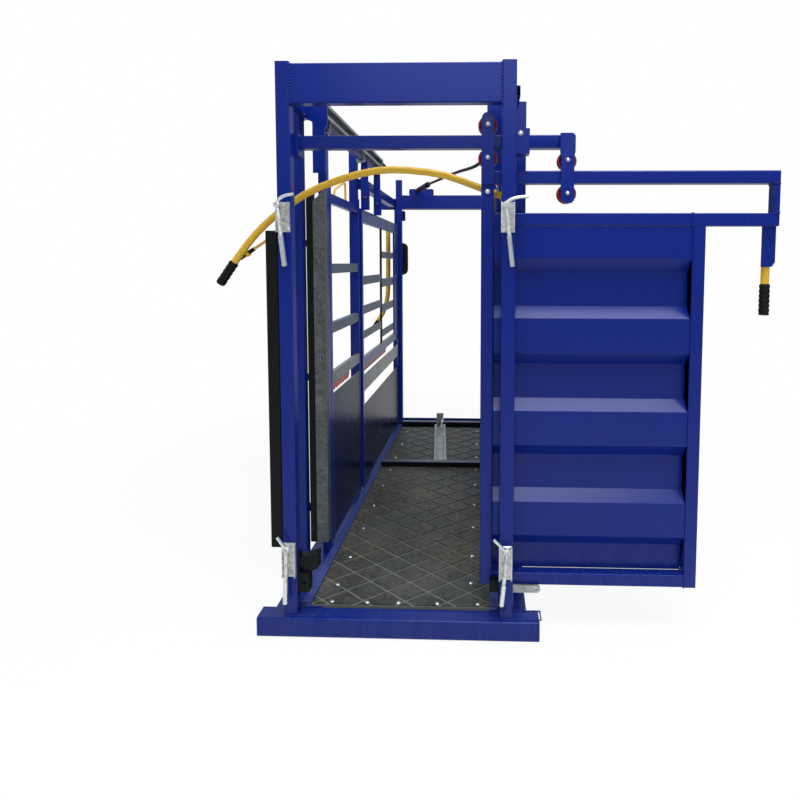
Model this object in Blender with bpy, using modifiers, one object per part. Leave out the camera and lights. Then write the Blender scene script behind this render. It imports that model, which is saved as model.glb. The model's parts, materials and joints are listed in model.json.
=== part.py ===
"""Cattle crush with a sliding rear gate on rollers, a lever-worked squeeze and a sliding head bail.

Metres, +Z up, +X to the right of someone who stands behind the crush, +Y towards its front.
The origin is the middle of the rear sill's underside.
"""

from math import cos, pi, radians, sin

import bmesh
import bpy
from mathutils import Matrix, Vector

# Clearances and common sections
GAP = 0.0003
WELD = 0.001
TUBE = 0.050
WALL = 0.0025
EDGE = 0.005

# Rear portal
PORTAL_INNER = 0.400
POST = 0.054
PORTAL_TOP = 2.232
HEADER_LOW = 2.077
HEADER_HIGH = 2.225
SILL_HALF = 0.558
SILL_REAR = -0.020
SILL_FRONT = 0.060
SILL_TOP = 0.079

# Gate guides on the feet of the two posts
GUIDE_FRONT = 0.058
CATCH_TIP = -0.3205
SHOE_INNER = 0.362
LUG_END = 0.565
LUG_LOW = 0.161
LUG_HIGH = 0.192

# Gate rail, gate and rollers
RAIL_Y = 0.068
RAIL_LOW = 1.922
RAIL_LEFT = -0.384
RAIL_RIGHT = 0.684
GATE_Y = 0.066
GATE_LEFT = 0.322
GATE_RIGHT = 1.188
GATE_END = 1.463
GATE_LOW = 0.184
GATE_TOP = 1.674
GUIDE_LOW = 1.786
STILE_TOP = 1.845
END_UPRIGHT = 0.020
ROLLER_RADIUS = 0.0375
ROLLER_WIDTH = 0.030
AXLE_RADIUS = 0.006
HANGER_X = GATE_LEFT + TUBE / 2
HANGER_TOP = 2.056
GUIDE_X = 0.653
PLATE = 0.010

# Corrugated gate sheet: flat bands in two planes, joined by slopes
SHEET_FRONT = 0.0705
SHEET_DEPTH = 0.042
SHEET_THICK = 0.003
SHEET_PITCH = 0.3695
FIRST_FLAT_LOW = 1.497
SLOPE_DOWN = 0.050
SLOPE_UP = 0.045
RECESS = 0.138

# Swing latches: name, middle X, low and high end of the bracket, offset of the pin in X, ends of
# the arm and of the handle as (X, Z) from the pin, and how far the handle bows up
LATCHES = (
    ("latch_upper_left", -0.4285, 1.595, 1.708, -0.0155, (0.026, -0.232), (0.066, 0.039), 1.0),
    ("latch_upper_right", 0.4235, 1.595, 1.708, -0.0080, (0.026, -0.231), (0.082, 0.030), 1.0),
    ("latch_lower_left", -0.4285, 0.240, 0.376, -0.0040, (-0.007, -0.222), (-0.033, 0.049), 0.0),
    ("latch_lower_right", 0.4235, 0.244, 0.378, 0.0050, (-0.020, -0.215), (-0.052, 0.052), 0.0),
)

# Body, walls and roof
BODY_INNER = 0.463
BODY_REAR = 0.330
BODY_MIDDLE = 1.397
BODY_FRONT = 2.620
BASE_INNER = 0.4003
BASE_HEIGHT = 0.070
ROOF_LOW = 2.108
ROOF_HIGH = 2.170
ROOF_INNER = 0.350
ROOF_OUTER = 0.392
ROOF_REAR = 0.3315
ROOF_FRONT = 1.700
SPRING_END = 1.790
WALL_INNER = 0.401
WALL_POST = 0.040
WALL_POST_Y = 0.500
PANEL_LOW = 0.115
PANEL_TOP = 1.800

# Vet gate in the rear bay
VET_REAR = 0.545
VET_FRONT = 1.190
VET_TOP = 1.850
VET_AXIS_X = 0.450
VET_AXIS_Y = 0.530

# Squeeze panel in the front bay
SQUEEZE_REAR = 1.205
SQUEEZE_FRONT = 2.600
SQUEEZE_INNER = 0.391
SQUEEZE_AXIS_X = 0.415
SQUEEZE_AXIS_Z = 0.092

# Gusset plate at the rear of each roof rail: (X, Z), with a hanger that runs down from it
HAUNCH = (
    (0.485, 2.168), (0.470, 2.150), (0.456, 2.120), (0.436, 2.100), (0.411, 2.086), (0.411, 1.869),
    (0.357, 1.869), (0.357, 2.062), (0.345, 2.075), (0.345, 2.168),
)

# Squeeze cranks under the roof
CRANK_X = 0.383
CRANK_Z = 2.083
CRANK_LENGTH = 0.211
CRANK_PIN = 0.185
CRANK_ARMS_Y = (1.250, 1.640)

# Squeeze lever, with its centre line in the XZ plane
LEVER_Y = 0.190
LEVER_RADIUS = 0.0147
LEVER_PIVOT = (0.425, 1.747)
LEVER_LINE = (
    (0.380, 1.763), (0.316, 1.786), (0.177, 1.836), (0.020, 1.858), (-0.114, 1.855), (-0.263, 1.819),
    (-0.409, 1.758), (-0.532, 1.672), (-0.613, 1.597), (-0.668, 1.531), (-0.706, 1.480),
)
LEVER_GRIP_END = (-0.769, 1.389)
ROD_Y = 0.216
ROD_RADIUS = 0.006
ROD_SLEEVE = 0.0085
ROD_START = (-0.480, 1.638)
ROD_END = (-0.690, 1.498)

# Floor
MAT_HALF = 0.3635
MAT_TOP = 0.090
FLANGE_TOP = 0.097
DECK_LOW = 0.064
DECK_RIB = 0.008
DECK_RIBS_Y = (0.080, 0.420, 0.780, 1.140, 1.500, 1.860, 2.220, 2.560)
STEP_REAR = 1.627
STEP_FRONT = 1.672
STEP_TOP = 0.125

# Head bail
FRONT_INNER = 0.362
FRONT_HEADER_LOW = 1.931
FRONT_HEADER_HIGH = 2.043
FRONT_SILL_TOP = 0.120
FRONT_HALF = 0.560
JAW_REAR = 2.690
JAW_INNER = 0.386
HEAD_LEVER_X = 0.482
HEAD_LEVER_PIVOT = (2.645, 1.800)

COLOURS = {
    "blue": ((0.016, 0.034, 0.30, 1.0), 0.35, 0.0),
    "navy": ((0.010, 0.016, 0.10, 1.0), 0.18, 0.0),
    "galvanised": ((0.36, 0.38, 0.39, 1.0), 0.45, 0.8),
    "red": ((0.45, 0.01, 0.015, 1.0), 0.35, 0.0),
    "yellow": ((0.70, 0.38, 0.03, 1.0), 0.35, 0.0),
    "rubber": ((0.012, 0.012, 0.013, 1.0), 0.80, 0.0),
    "mat": ((0.045, 0.048, 0.043, 1.0), 0.85, 0.0),
    "steel": ((0.42, 0.43, 0.44, 1.0), 0.35, 0.9),
}


def new_collection(name):
    """Add a collection to the scene."""
    collection = bpy.data.collections.new(name)
    bpy.context.scene.collection.children.link(collection)
    return collection


def material(name, colour):
    """Principled material for one sub-part."""
    base, roughness, metallic = COLOURS[colour]
    new = bpy.data.materials.new(name)
    new.use_nodes = True
    shader = new.node_tree.nodes["Principled BSDF"]
    shader.inputs["Base Color"].default_value = base
    shader.inputs["Roughness"].default_value = roughness
    shader.inputs["Metallic"].default_value = metallic
    return new


def mesh_from(bm):
    """Turn a bmesh into a mesh and free it."""
    mesh = bpy.data.meshes.new("shape")
    bmesh.ops.recalc_face_normals(bm, faces=bm.faces)
    bm.to_mesh(mesh)
    bm.free()
    return mesh


def block(low, high, along=None, corner=0.0, segments=2):
    """Box between two corners; with a corner radius, its edges along one axis are rounded."""
    bm = bmesh.new()
    bmesh.ops.create_cube(bm, size=1.0)
    size = [high[i] - low[i] for i in range(3)]
    centre = [(high[i] + low[i]) / 2 for i in range(3)]
    bmesh.ops.scale(bm, vec=size, verts=bm.verts)
    bmesh.ops.translate(bm, vec=centre, verts=bm.verts)
    if corner > 0:
        axis = "XYZ".index(along)
        edges = []
        for edge in bm.edges:
            run = edge.verts[1].co - edge.verts[0].co
            if abs(run[axis]) > abs(run[(axis + 1) % 3]) + abs(run[(axis + 2) % 3]):
                edges.append(edge)
        bmesh.ops.bevel(bm, geom=edges, offset=corner, segments=segments, profile=0.5, affect="EDGES")
    return mesh_from(bm)


def disc(centre, radius, length, along, sides=24):
    """Cylinder about a centre, along one world axis."""
    bm = bmesh.new()
    bmesh.ops.create_cone(
        bm, cap_ends=True, segments=sides, radius1=radius, radius2=radius, depth=length,
    )
    turn = {
        "X": Matrix.Rotation(pi / 2, 4, "Y"),
        "Y": Matrix.Rotation(-pi / 2, 4, "X"),
        "Z": Matrix.Identity(4),
    }[along]
    bmesh.ops.transform(bm, matrix=Matrix.Translation(centre) @ turn, verts=bm.verts)
    return mesh_from(bm)


def evaluated(obj):
    """Mesh of an object with its modifiers applied, in world space; the object is removed."""
    bpy.context.view_layer.update()
    graph = bpy.context.evaluated_depsgraph_get()
    mesh = bpy.data.meshes.new_from_object(obj.evaluated_get(graph), depsgraph=graph)
    mesh.transform(obj.matrix_world)
    data = obj.data
    bpy.data.objects.remove(obj)
    if isinstance(data, bpy.types.Curve):
        bpy.data.curves.remove(data)
    elif data.users == 0:
        bpy.data.meshes.remove(data)
    return mesh


def tidy(mesh):
    """Weld the loose caps of a converted curve."""
    bm = bmesh.new()
    bm.from_mesh(mesh)
    bmesh.ops.remove_doubles(bm, verts=bm.verts, dist=0.00002)
    bmesh.ops.recalc_face_normals(bm, faces=bm.faces)
    bm.to_mesh(mesh)
    bm.free()
    return mesh


def outline(points, low, high, along, holes=()):
    """Flat outline extruded along one axis.

    The points are (X, Y) for an outline along Z, (X, Z) along Y and (Y, Z) along X.
    """
    curve = bpy.data.curves.new("outline", "CURVE")
    curve.dimensions = "2D"
    curve.fill_mode = "BOTH"
    curve.extrude = (high - low) / 2
    for loop in (points, *holes):
        spline = curve.splines.new("POLY")
        spline.points.add(len(loop) - 1)
        for point, (u, v) in zip(spline.points, loop):
            point.co = (u, v, 0.0, 1.0)
        spline.use_cyclic_u = True
    obj = bpy.data.objects.new("outline", curve)
    bpy.context.scene.collection.objects.link(obj)
    middle = (high + low) / 2
    if along == "Z":
        obj.matrix_world = Matrix.Translation((0.0, 0.0, middle))
    elif along == "Y":
        obj.matrix_world = Matrix.Translation((0.0, middle, 0.0)) @ Matrix.Rotation(pi / 2, 4, "X")
    else:
        columns = Matrix(((0, 0, 1, 0), (1, 0, 0, 0), (0, 1, 0, 0), (0, 0, 0, 1)))
        obj.matrix_world = Matrix.Translation((middle, 0.0, 0.0)) @ columns
    return tidy(evaluated(obj))


def circle(centre, radius, sides=16):
    """Points of a circle."""
    return [
        (centre[0] + radius * cos(2 * pi * i / sides), centre[1] + radius * sin(2 * pi * i / sides))
        for i in range(sides)
    ]


def smooth_line(points, steps=3):
    """Points along a smooth curve that runs through the given points."""
    points = [Vector(p) for p in points]
    padded = [2 * points[0] - points[1], *points, 2 * points[-1] - points[-2]]
    line = []
    for a, b, c, d in zip(padded, padded[1:], padded[2:], padded[3:]):
        for step in range(steps):
            t = step / steps
            line.append(
                0.5 * (2 * b + (c - a) * t + (2 * a - 5 * b + 4 * c - d) * t * t
                       + (3 * b - a - 3 * c + d) * t * t * t)
            )
    line.append(points[-1])
    return line


def pipe(points, radius, resolution=3):
    """Round bar that follows a line of points, with closed ends."""
    curve = bpy.data.curves.new("pipe", "CURVE")
    curve.dimensions = "3D"
    curve.bevel_depth = radius
    curve.bevel_resolution = resolution
    curve.use_fill_caps = True
    spline = curve.splines.new("POLY")
    spline.points.add(len(points) - 1)
    for point, place in zip(spline.points, points):
        point.co = (*place, 1.0)
    obj = bpy.data.objects.new("pipe", curve)
    bpy.context.scene.collection.objects.link(obj)
    return tidy(evaluated(obj))


def turned(profile, sides=24, ring=True):
    """Profile of (radius, height) pairs turned about Z; a ring's profile closes on itself."""
    bm = bmesh.new()
    verts = [bm.verts.new((radius, 0.0, height)) for radius, height in profile]
    ends = verts[1:] + verts[:1] if ring else verts[1:]
    for a, b in zip(verts, ends):
        bm.edges.new((a, b))
    mesh = bpy.data.meshes.new("profile")
    bm.to_mesh(mesh)
    bm.free()
    obj = bpy.data.objects.new("turned", mesh)
    bpy.context.scene.collection.objects.link(obj)
    screw = obj.modifiers.new("turn", "SCREW")
    screw.steps = sides
    screw.render_steps = sides
    screw.use_merge_vertices = True
    screw.merge_threshold = 0.00005
    return tidy(evaluated(obj))


def boolean(mesh, other, operation, cutters):
    """Join or cut two closed meshes."""
    base = bpy.data.objects.new("base", mesh)
    tool = bpy.data.objects.new("tool", other)
    bpy.context.scene.collection.objects.link(base)
    cutters.objects.link(tool)
    tool.hide_render = True
    tool.display_type = "WIRE"
    modifier = base.modifiers.new("boolean", "BOOLEAN")
    modifier.operation = operation
    modifier.solver = "EXACT"
    modifier.object = tool
    result = evaluated(base)
    bpy.data.objects.remove(tool)
    bpy.data.meshes.remove(other)
    return result


class Builder:
    """Makes the named sub-parts of the crush."""

    def __init__(self):
        self.parts = new_collection("cattle_crush")
        self.cutters = new_collection("cutters")

    def join(self, meshes):
        """Union of several solids that overlap."""
        result = meshes[0]
        for mesh in meshes[1:]:
            result = boolean(result, mesh, "UNION", self.cutters)
        return result

    def cut(self, mesh, tools):
        """Solid less several cutters."""
        for tool in tools:
            mesh = boolean(mesh, tool, "DIFFERENCE", self.cutters)
        return mesh

    def weld(self, members, extras=(), holes=()):
        """Frame of hollow members whose bores meet inside, with solid extras and holes."""
        solid = self.join([m["solid"] for m in members] + list(extras))
        bore = self.join([m["bore"] for m in members])
        return self.cut(solid, [bore, *holes])

    def part(self, name, mesh, colour, origin=(0.0, 0.0, 0.0)):
        """Finish one named sub-part, with its origin at the given point."""
        bm = bmesh.new()
        bm.from_mesh(mesh)
        bmesh.ops.recalc_face_normals(bm, faces=bm.faces)
        bmesh.ops.translate(bm, vec=-Vector(origin), verts=bm.verts)
        bm.to_mesh(mesh)
        bm.free()
        mesh.name = name
        mesh.materials.clear()
        mesh.materials.append(material(name, colour))
        mesh.shade_smooth()
        mesh.set_sharp_from_angle(angle=radians(35))
        obj = bpy.data.objects.new(name, mesh)
        obj.location = origin
        self.parts.objects.link(obj)
        return obj


def member(low, high, along, ends=("open", "closed"), wall=WALL, corner=EDGE):
    """Rectangular tube: its outer solid and the bore that is taken out of it.

    An end is open, closed, or joined to the bore of the member that it runs into.
    """
    reach = {"open": 0.004, "closed": -wall, "join": wall + 2 * WELD}
    axis = "XYZ".index(along)
    bore_low = [value + wall for value in low]
    bore_high = [value - wall for value in high]
    bore_low[axis] = low[axis] - reach[ends[0]]
    bore_high[axis] = high[axis] + reach[ends[1]]
    inner = max(corner - wall, 0.0)
    return {
        "solid": block(low, high, along, corner),
        "bore": block(bore_low, bore_high, along, inner if inner > 0.001 else 0.0),
    }


def sided(side, low, high):
    """Corners of a box given by its distance from the centre line, on one side."""
    if side > 0:
        return list(low), list(high)
    return [-high[0], low[1], low[2]], [-low[0], high[1], high[2]]


def flipped(side, points):
    """Outline points moved to one side of the centre line."""
    return [(side * u, v) for u, v in points]


SIDES = (("left", -1), ("right", 1))


def build_portal(b):
    """Sill, posts and header that carry the sliding gate."""
    sill = member((-SILL_HALF, SILL_REAR, 0.0), (SILL_HALF, SILL_FRONT, SILL_TOP), "X",
                  ("open", "open"), wall=0.004, corner=0.008)
    b.part("rear_sill", b.weld([sill]), "blue")
    for name, side in SIDES:
        low, high = sided(side, (PORTAL_INNER, 0.0, SILL_TOP + GAP),
                          (PORTAL_INNER + POST, 0.050, PORTAL_TOP))
        guide = gate_catch() if side < 0 else gate_shoe()
        b.part(f"rear_post_{name}", b.weld([member(low, high, "Z", wall=0.003)], guide), "blue")
    half = PORTAL_INNER - GAP
    header = member((-half, 0.001, HEADER_LOW), (half, 0.049, HEADER_HIGH), "X",
                    ("open", "open"), wall=0.003)
    b.part("rear_header", b.weld([header]), "blue")
    outer = PORTAL_INNER + POST
    low, high = sided(-1, (outer + GAP, 0.004, 0.355), (outer + 0.050, 0.046, 1.601))
    b.part("gate_buffer", block(low, high, "Z", 0.008, 3), "rubber")


def gate_catch():
    """Catch on the left post's inner face: a plate, a wedge that leads the gate in, and a block."""
    rear, inner = 0.012, -PORTAL_INNER + 0.005
    wedge = [(inner, 0.308), (CATCH_TIP, 0.3275), (CATCH_TIP, 0.2675), (-0.346, 0.256), (inner, 0.279)]
    foot = [(inner, 0.168), (-0.357, 0.168), (-0.357, 0.246), (inner, 0.246)]
    return [
        block((-PORTAL_INNER - WELD, rear - 0.002, 0.155), (inner + WELD, 0.048, 0.325)),
        outline(wedge, rear, GUIDE_FRONT, "Y"),
        outline(foot, rear, GUIDE_FRONT, "Y", [circle((-0.376, 0.206), 0.006, 12)]),
    ]


def gate_shoe():
    """Block on the right post's inner face and the flat lug on its front, both at the gate's foot."""
    middle = (LUG_LOW + LUG_HIGH) / 2
    nose = LUG_END - 0.010
    lug = [
        (0.420, LUG_LOW), (nose, LUG_LOW), (LUG_END - 0.002, LUG_LOW + 0.006), (LUG_END, middle),
        (LUG_END - 0.002, LUG_HIGH - 0.006), (nose, LUG_HIGH), (0.420, LUG_HIGH),
    ]
    return [
        block((SHOE_INNER, 0.026, 0.174), (PORTAL_INNER + WELD, GUIDE_FRONT, 0.222)),
        outline(lug, 0.050 - WELD, GUIDE_FRONT, "Y", [circle((0.5485, middle), 0.005, 12)]),
    ]


def build_rail(b):
    """Fixed rail with its two end blocks, and the plate that carries the guide rollers."""
    high = RAIL_LOW + TUBE
    rail = member((RAIL_LEFT, RAIL_Y, RAIL_LOW), (RAIL_RIGHT, RAIL_Y + TUBE, high), "X",
                  ("closed", "open"))
    inner = PORTAL_INNER + POST + GAP
    blocks = [
        block((-0.432, 0.050 + GAP, RAIL_LOW - 0.030),
              (RAIL_LEFT + WELD, RAIL_Y + TUBE + WELD, high + 0.004)),
        disc((-0.408, RAIL_Y + TUBE + 0.004, RAIL_LOW + 0.025), 0.009, 0.008, "Y", 6),
        block((inner, 0.012, RAIL_LOW - 0.032), (0.504, RAIL_Y + WELD, high + 0.012)),
        disc((0.470, 0.0095, RAIL_LOW + 0.043), 0.008, 0.007, "Y", 6),
    ]
    b.part("gate_rail", b.weld([rail], blocks), "blue")

    plate_rear = RAIL_Y - 0.0135
    top, low = RAIL_LOW + TUBE + 0.004, GUIDE_LOW - 0.075
    wide, narrow = 0.029, 0.025
    shape = [
        (GUIDE_X - wide, top), (GUIDE_X - wide, 1.905), (GUIDE_X - narrow, 1.890),
        (GUIDE_X - narrow, low + 0.014), (GUIDE_X - narrow + 0.012, low), (GUIDE_X + narrow - 0.008, low),
        (GUIDE_X + narrow, low + 0.010), (GUIDE_X + narrow, 1.890), (GUIDE_X + wide, 1.905),
        (GUIDE_X + wide, top - 0.010), (GUIDE_X + wide - 0.010, top),
    ]
    plate = outline(shape, plate_rear, plate_rear + PLATE, "Y")
    foot = block((GUIDE_X - 0.020, plate_rear + PLATE - WELD, RAIL_LOW + 0.006),
                 (GUIDE_X + 0.020, RAIL_Y - GAP, RAIL_LOW + TUBE - 0.006))
    pieces = [plate, foot]
    for z in guide_roller_heights():
        pieces += axle(GUIDE_X, z, plate_rear, plate_rear + PLATE)
    b.part("guide_roller_plate", b.join(pieces), "blue")


def guide_roller_heights():
    """Axle heights of the rollers above and below the gate's guide bar."""
    step = ROLLER_RADIUS + GAP
    return (GUIDE_LOW + TUBE + step, GUIDE_LOW - step)


def hanger_roller_heights():
    """Axle heights of the gate's own rollers above and below the rail."""
    step = ROLLER_RADIUS + GAP
    return (RAIL_LOW + TUBE + step, RAIL_LOW - step)


def axle(x, z, head, shoulder):
    """Bolt through a plate: hexagon head behind, collar and shaft in front."""
    middle = RAIL_Y + TUBE / 2
    start = shoulder - WELD
    tip = middle + ROLLER_WIDTH / 2 + 0.003
    collar = middle - ROLLER_WIDTH / 2 - 0.002
    return [
        disc((x, head - 0.0015, z), 0.009, 0.005, "Y", 6),
        disc((x, (start + tip) / 2, z), AXLE_RADIUS, tip - start, "Y", 16),
        disc((x, (start + collar) / 2, z), 0.010, collar - start, "Y", 16),
    ]


def build_rollers(b):
    """Rollers turned about Y, each with its bore, hub, web and rim."""
    bore, hub, rim = AXLE_RADIUS + 0.0004, 0.013, 0.029
    half, web = ROLLER_WIDTH / 2, 0.009
    profile = [
        (bore, half), (hub, half), (hub + 0.002, web), (rim, web), (rim + 0.001, half),
        (ROLLER_RADIUS - 0.002, half), (ROLLER_RADIUS, half - 0.002), (ROLLER_RADIUS, -half + 0.002),
        (ROLLER_RADIUS - 0.002, -half), (bore, -half),
    ]
    middle = RAIL_Y + TUBE / 2
    places = []
    for level, z in zip(("upper", "lower"), hanger_roller_heights()):
        places.append((f"hanger_roller_{level}", (HANGER_X, middle, z)))
    for level, z in zip(("upper", "lower"), guide_roller_heights()):
        places.append((f"guide_roller_{level}", (GUIDE_X, middle, z)))
    for name, centre in places:
        mesh = turned(profile)
        mesh.transform(Matrix.Translation(centre) @ Matrix.Rotation(-pi / 2, 4, "X"))
        b.part(name, mesh, "red", centre)


def build_gate(b):
    """Welded gate frame with its hanger plate, the corrugated sheet and the handle."""
    y0, y1 = GATE_Y, GATE_Y + TUBE
    left, right = GATE_LEFT, GATE_RIGHT
    lead = member((left, y0, GATE_LOW), (left + TUBE, y1, STILE_TOP), "Z")
    trail = member((right - TUBE, y0, GATE_LOW), (right, y1, GATE_TOP - TUBE + WELD), "Z",
                   ("open", "join"))
    top = member((left + TUBE - WELD, y0, GATE_TOP - TUBE), (GATE_END, y1, GATE_TOP), "X",
                 ("join", "closed"))
    low = member((left + TUBE - WELD, y0, GATE_LOW), (right - TUBE + WELD, y1, GATE_LOW + TUBE), "X",
                 ("join", "join"))
    guide = member((left + TUBE - WELD, y0, GUIDE_LOW), (GATE_END, y1, GUIDE_LOW + TUBE), "X",
                   ("join", "closed"))
    upright = member((GATE_END - END_UPRIGHT, y0, GATE_TOP - WELD), (GATE_END, y1, GUIDE_LOW + WELD), "Z",
                     ("join", "join"), corner=0.0)

    front = GATE_Y - PLATE + WELD / 2
    half = 0.024
    arc = [
        (HANGER_X + half * cos(radians(a)), HANGER_TOP - half + half * sin(radians(a)))
        for a in range(0, 181, 20)
    ]
    shape = [(HANGER_X + half, GUIDE_LOW - 0.002), *arc, (HANGER_X - half, GUIDE_LOW - 0.002)]
    extras = [outline(shape, front, front + PLATE, "Y")]
    for z in hanger_roller_heights():
        extras += axle(HANGER_X, z, front, front + PLATE)
    b.part("gate_frame", b.weld([lead, trail, top, low, guide, upright], extras), "blue")

    b.part("gate_sheet", gate_sheet(), "blue")

    arm = [(1.409, GATE_TOP - TUBE - GAP), (1.460, GATE_TOP - TUBE - GAP), (1.460, 1.486),
           (1.448, 1.468), (1.409, 1.468)]
    bolts = [disc((1.442, 0.079, z), 0.008, 0.007, "Y", 6) for z in (1.580, 1.504)]
    b.part("gate_handle_arm", b.join([outline(arm, 0.082, 0.090, "Y"), *bolts]), "blue")
    centre = (1.435, 0.106)
    tube = b.cut(disc((*centre, 1.474), 0.0155, 0.146, "Z", 24),
                 [disc((*centre, 1.460), 0.0125, 0.146, "Z", 24)])
    strap = block((1.424, 0.0903, 1.496), (1.446, 0.098, 1.540))
    b.part("gate_handle", b.join([tube, strap]), "yellow")
    b.part("gate_handle_grip", ribbed_grip(centre, 1.278, 1.4007), "rubber")


def gate_sheet():
    """Trapezoid sheet: bands step back by the sheet's depth and forward again."""
    front, back = SHEET_FRONT, SHEET_FRONT + SHEET_DEPTH
    top = GATE_TOP - TUBE - GAP
    bottom = GATE_LOW + TUBE + GAP
    line = [(front, top)]
    z = FIRST_FLAT_LOW
    while z - SLOPE_DOWN > bottom:
        line.append((front, z))
        line.append((back, z - SLOPE_DOWN))
        if z - SLOPE_DOWN - RECESS - SLOPE_UP > bottom:
            line.append((back, z - SLOPE_DOWN - RECESS))
            line.append((front, z - SLOPE_DOWN - RECESS - SLOPE_UP))
        z -= SHEET_PITCH
    line.append((back, bottom))
    rear = [(y + SHEET_THICK, z) for y, z in reversed(line)]
    return outline(line + rear, GATE_LEFT + TUBE + GAP, GATE_RIGHT - TUBE - GAP, "X")


def ribbed_grip(centre, low, high):
    """Sleeve over a vertical handle tube, ringed by finger ribs and closed at its lower end."""
    outer, groove = 0.020, 0.0178
    ribs = 6
    pitch = (high - low - 0.012) / ribs
    profile = [(0.0160, high), (outer, high)]
    for i in range(ribs):
        top = high - 0.006 - i * pitch
        profile += [(outer, top), (groove, top - pitch * 0.3), (outer, top - pitch * 0.6)]
    profile += [(outer, low + 0.002), (outer - 0.002, low), (0.0160, low)]
    sleeve = turned(profile, 16)
    sleeve.transform(Matrix.Translation((*centre, 0.0)))
    return sleeve


def build_latches(b):
    """Galvanised swing latches on the front of the portal's posts."""
    for name, x, low, high, shift, arm_end, handle_end, bow in LATCHES:
        half, depth, sheet = 0.0255, 0.018, 0.0035
        channel = [
            (-half, -depth), (-half + sheet, -depth), (-half + sheet, -GAP - sheet),
            (half - sheet, -GAP - sheet), (half - sheet, -depth), (half, -depth), (half, -GAP),
            (-half, -GAP),
        ]
        pin = (x + shift, high - 0.012)
        bracket = b.join([
            outline(channel, low, high, "Z"),
            disc((shift, -0.0165, pin[1]), 0.0055, 0.030, "Y", 12),
            disc((0.011, -0.0048, high - 0.043), 0.006, 0.006, "Y", 6),
            disc((0.009, -0.0048, low + 0.020), 0.006, 0.006, "Y", 6),
        ])
        bracket.transform(Matrix.Translation((x, 0.0, 0.0)))
        b.part(f"{name}_bracket", bracket, "galvanised")
        y = -0.0265
        foot = (pin[0] + arm_end[0], pin[1] + arm_end[1])
        share = (pin[1] - low + 0.012) / (pin[1] - foot[1])
        neck = (pin[0] + share * arm_end[0], y, pin[1] + share * arm_end[1])
        tip = (foot[0], y, foot[1])
        across, rise = handle_end
        handle = smooth_line([
            (pin[0] - across * 0.06, y, pin[1] + rise * 0.10 * bow),
            (pin[0] + across * 0.20, y - 0.002, pin[1] + rise * (0.20 + 0.40 * bow)),
            (pin[0] + across * 0.55, y - 0.004, pin[1] + rise * (0.55 + 0.33 * bow)),
            (pin[0] + across, y - 0.004, pin[1] + rise),
        ])
        eye = disc((pin[0], y, pin[1]), 0.0125, 0.0165, "Y", 20)
        sleeve = pipe([neck, tip], 0.0100, 2)
        arm = b.join([eye, pipe([(pin[0], y, pin[1]), neck], 0.0078, 2), sleeve, pipe(handle, 0.0065, 2)])
        arm = b.cut(arm, [disc((pin[0], -0.020, pin[1]), 0.0059, 0.040, "Y", 16)])
        b.part(f"{name}_arm", arm, "galvanised", (pin[0], y, pin[1]))


def build_floor(b):
    """Deck with its side flanges and step bar, two rubber mats and the front floor channel."""
    end = BODY_FRONT - GAP
    start = SILL_FRONT + GAP
    half = BASE_INNER - 0.0006
    pieces = [block((-half, start, DECK_LOW), (half, end, BASE_HEIGHT))]
    for _, side in SIDES:
        low, high = sided(side, (MAT_HALF + GAP, start, BASE_HEIGHT - WELD), (half, end, FLANGE_TOP))
        pieces.append(block(low, high))
        low, high = sided(side, (half - DECK_RIB, start, 0.0), (half, end, DECK_LOW + WELD))
        pieces.append(block(low, high))
    for y in DECK_RIBS_Y:
        rib = DECK_RIB - WELD
        pieces.append(block((-half + rib, y, 0.0), (half - rib, y + DECK_RIB, DECK_LOW + WELD)))
    pieces.append(block((-MAT_HALF - WELD, STEP_REAR, BASE_HEIGHT - WELD),
                        (MAT_HALF + WELD, STEP_FRONT, STEP_TOP), "X", 0.003, 1))
    b.part("floor_deck", b.join(pieces), "blue")
    for name, y0, y1 in (("rear", start, STEP_REAR - GAP), ("front", STEP_FRONT + GAP, 2.560)):
        low, high = (-MAT_HALF, y0, BASE_HEIGHT + GAP), (MAT_HALF, y1, MAT_TOP)
        b.part(f"floor_mat_{name}", block(low, high), "mat")

    near, far = Vector((0.036, 1.680)), Vector((-0.034, 2.540))
    length = (far - near).length
    lean = -((far - near).x) / length
    half, low = 0.044, MAT_TOP + GAP
    section = [
        (-half, low), (half, low), (half, 0.122), (0.026, 0.122), (0.022, 0.108), (-0.022, 0.108),
        (-0.026, 0.122), (-half, 0.122),
    ]
    channel = b.join([
        outline(section, 0.0, length, "Y"),
        block((-0.028, length - 0.060, 0.104), (0.028, length - 0.048, 0.232)),
    ])
    channel.transform(Matrix.Translation((near.x, near.y, 0.0)) @ Matrix.Rotation(lean, 4, "Z"))
    b.part("floor_channel", channel, "galvanised")


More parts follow.
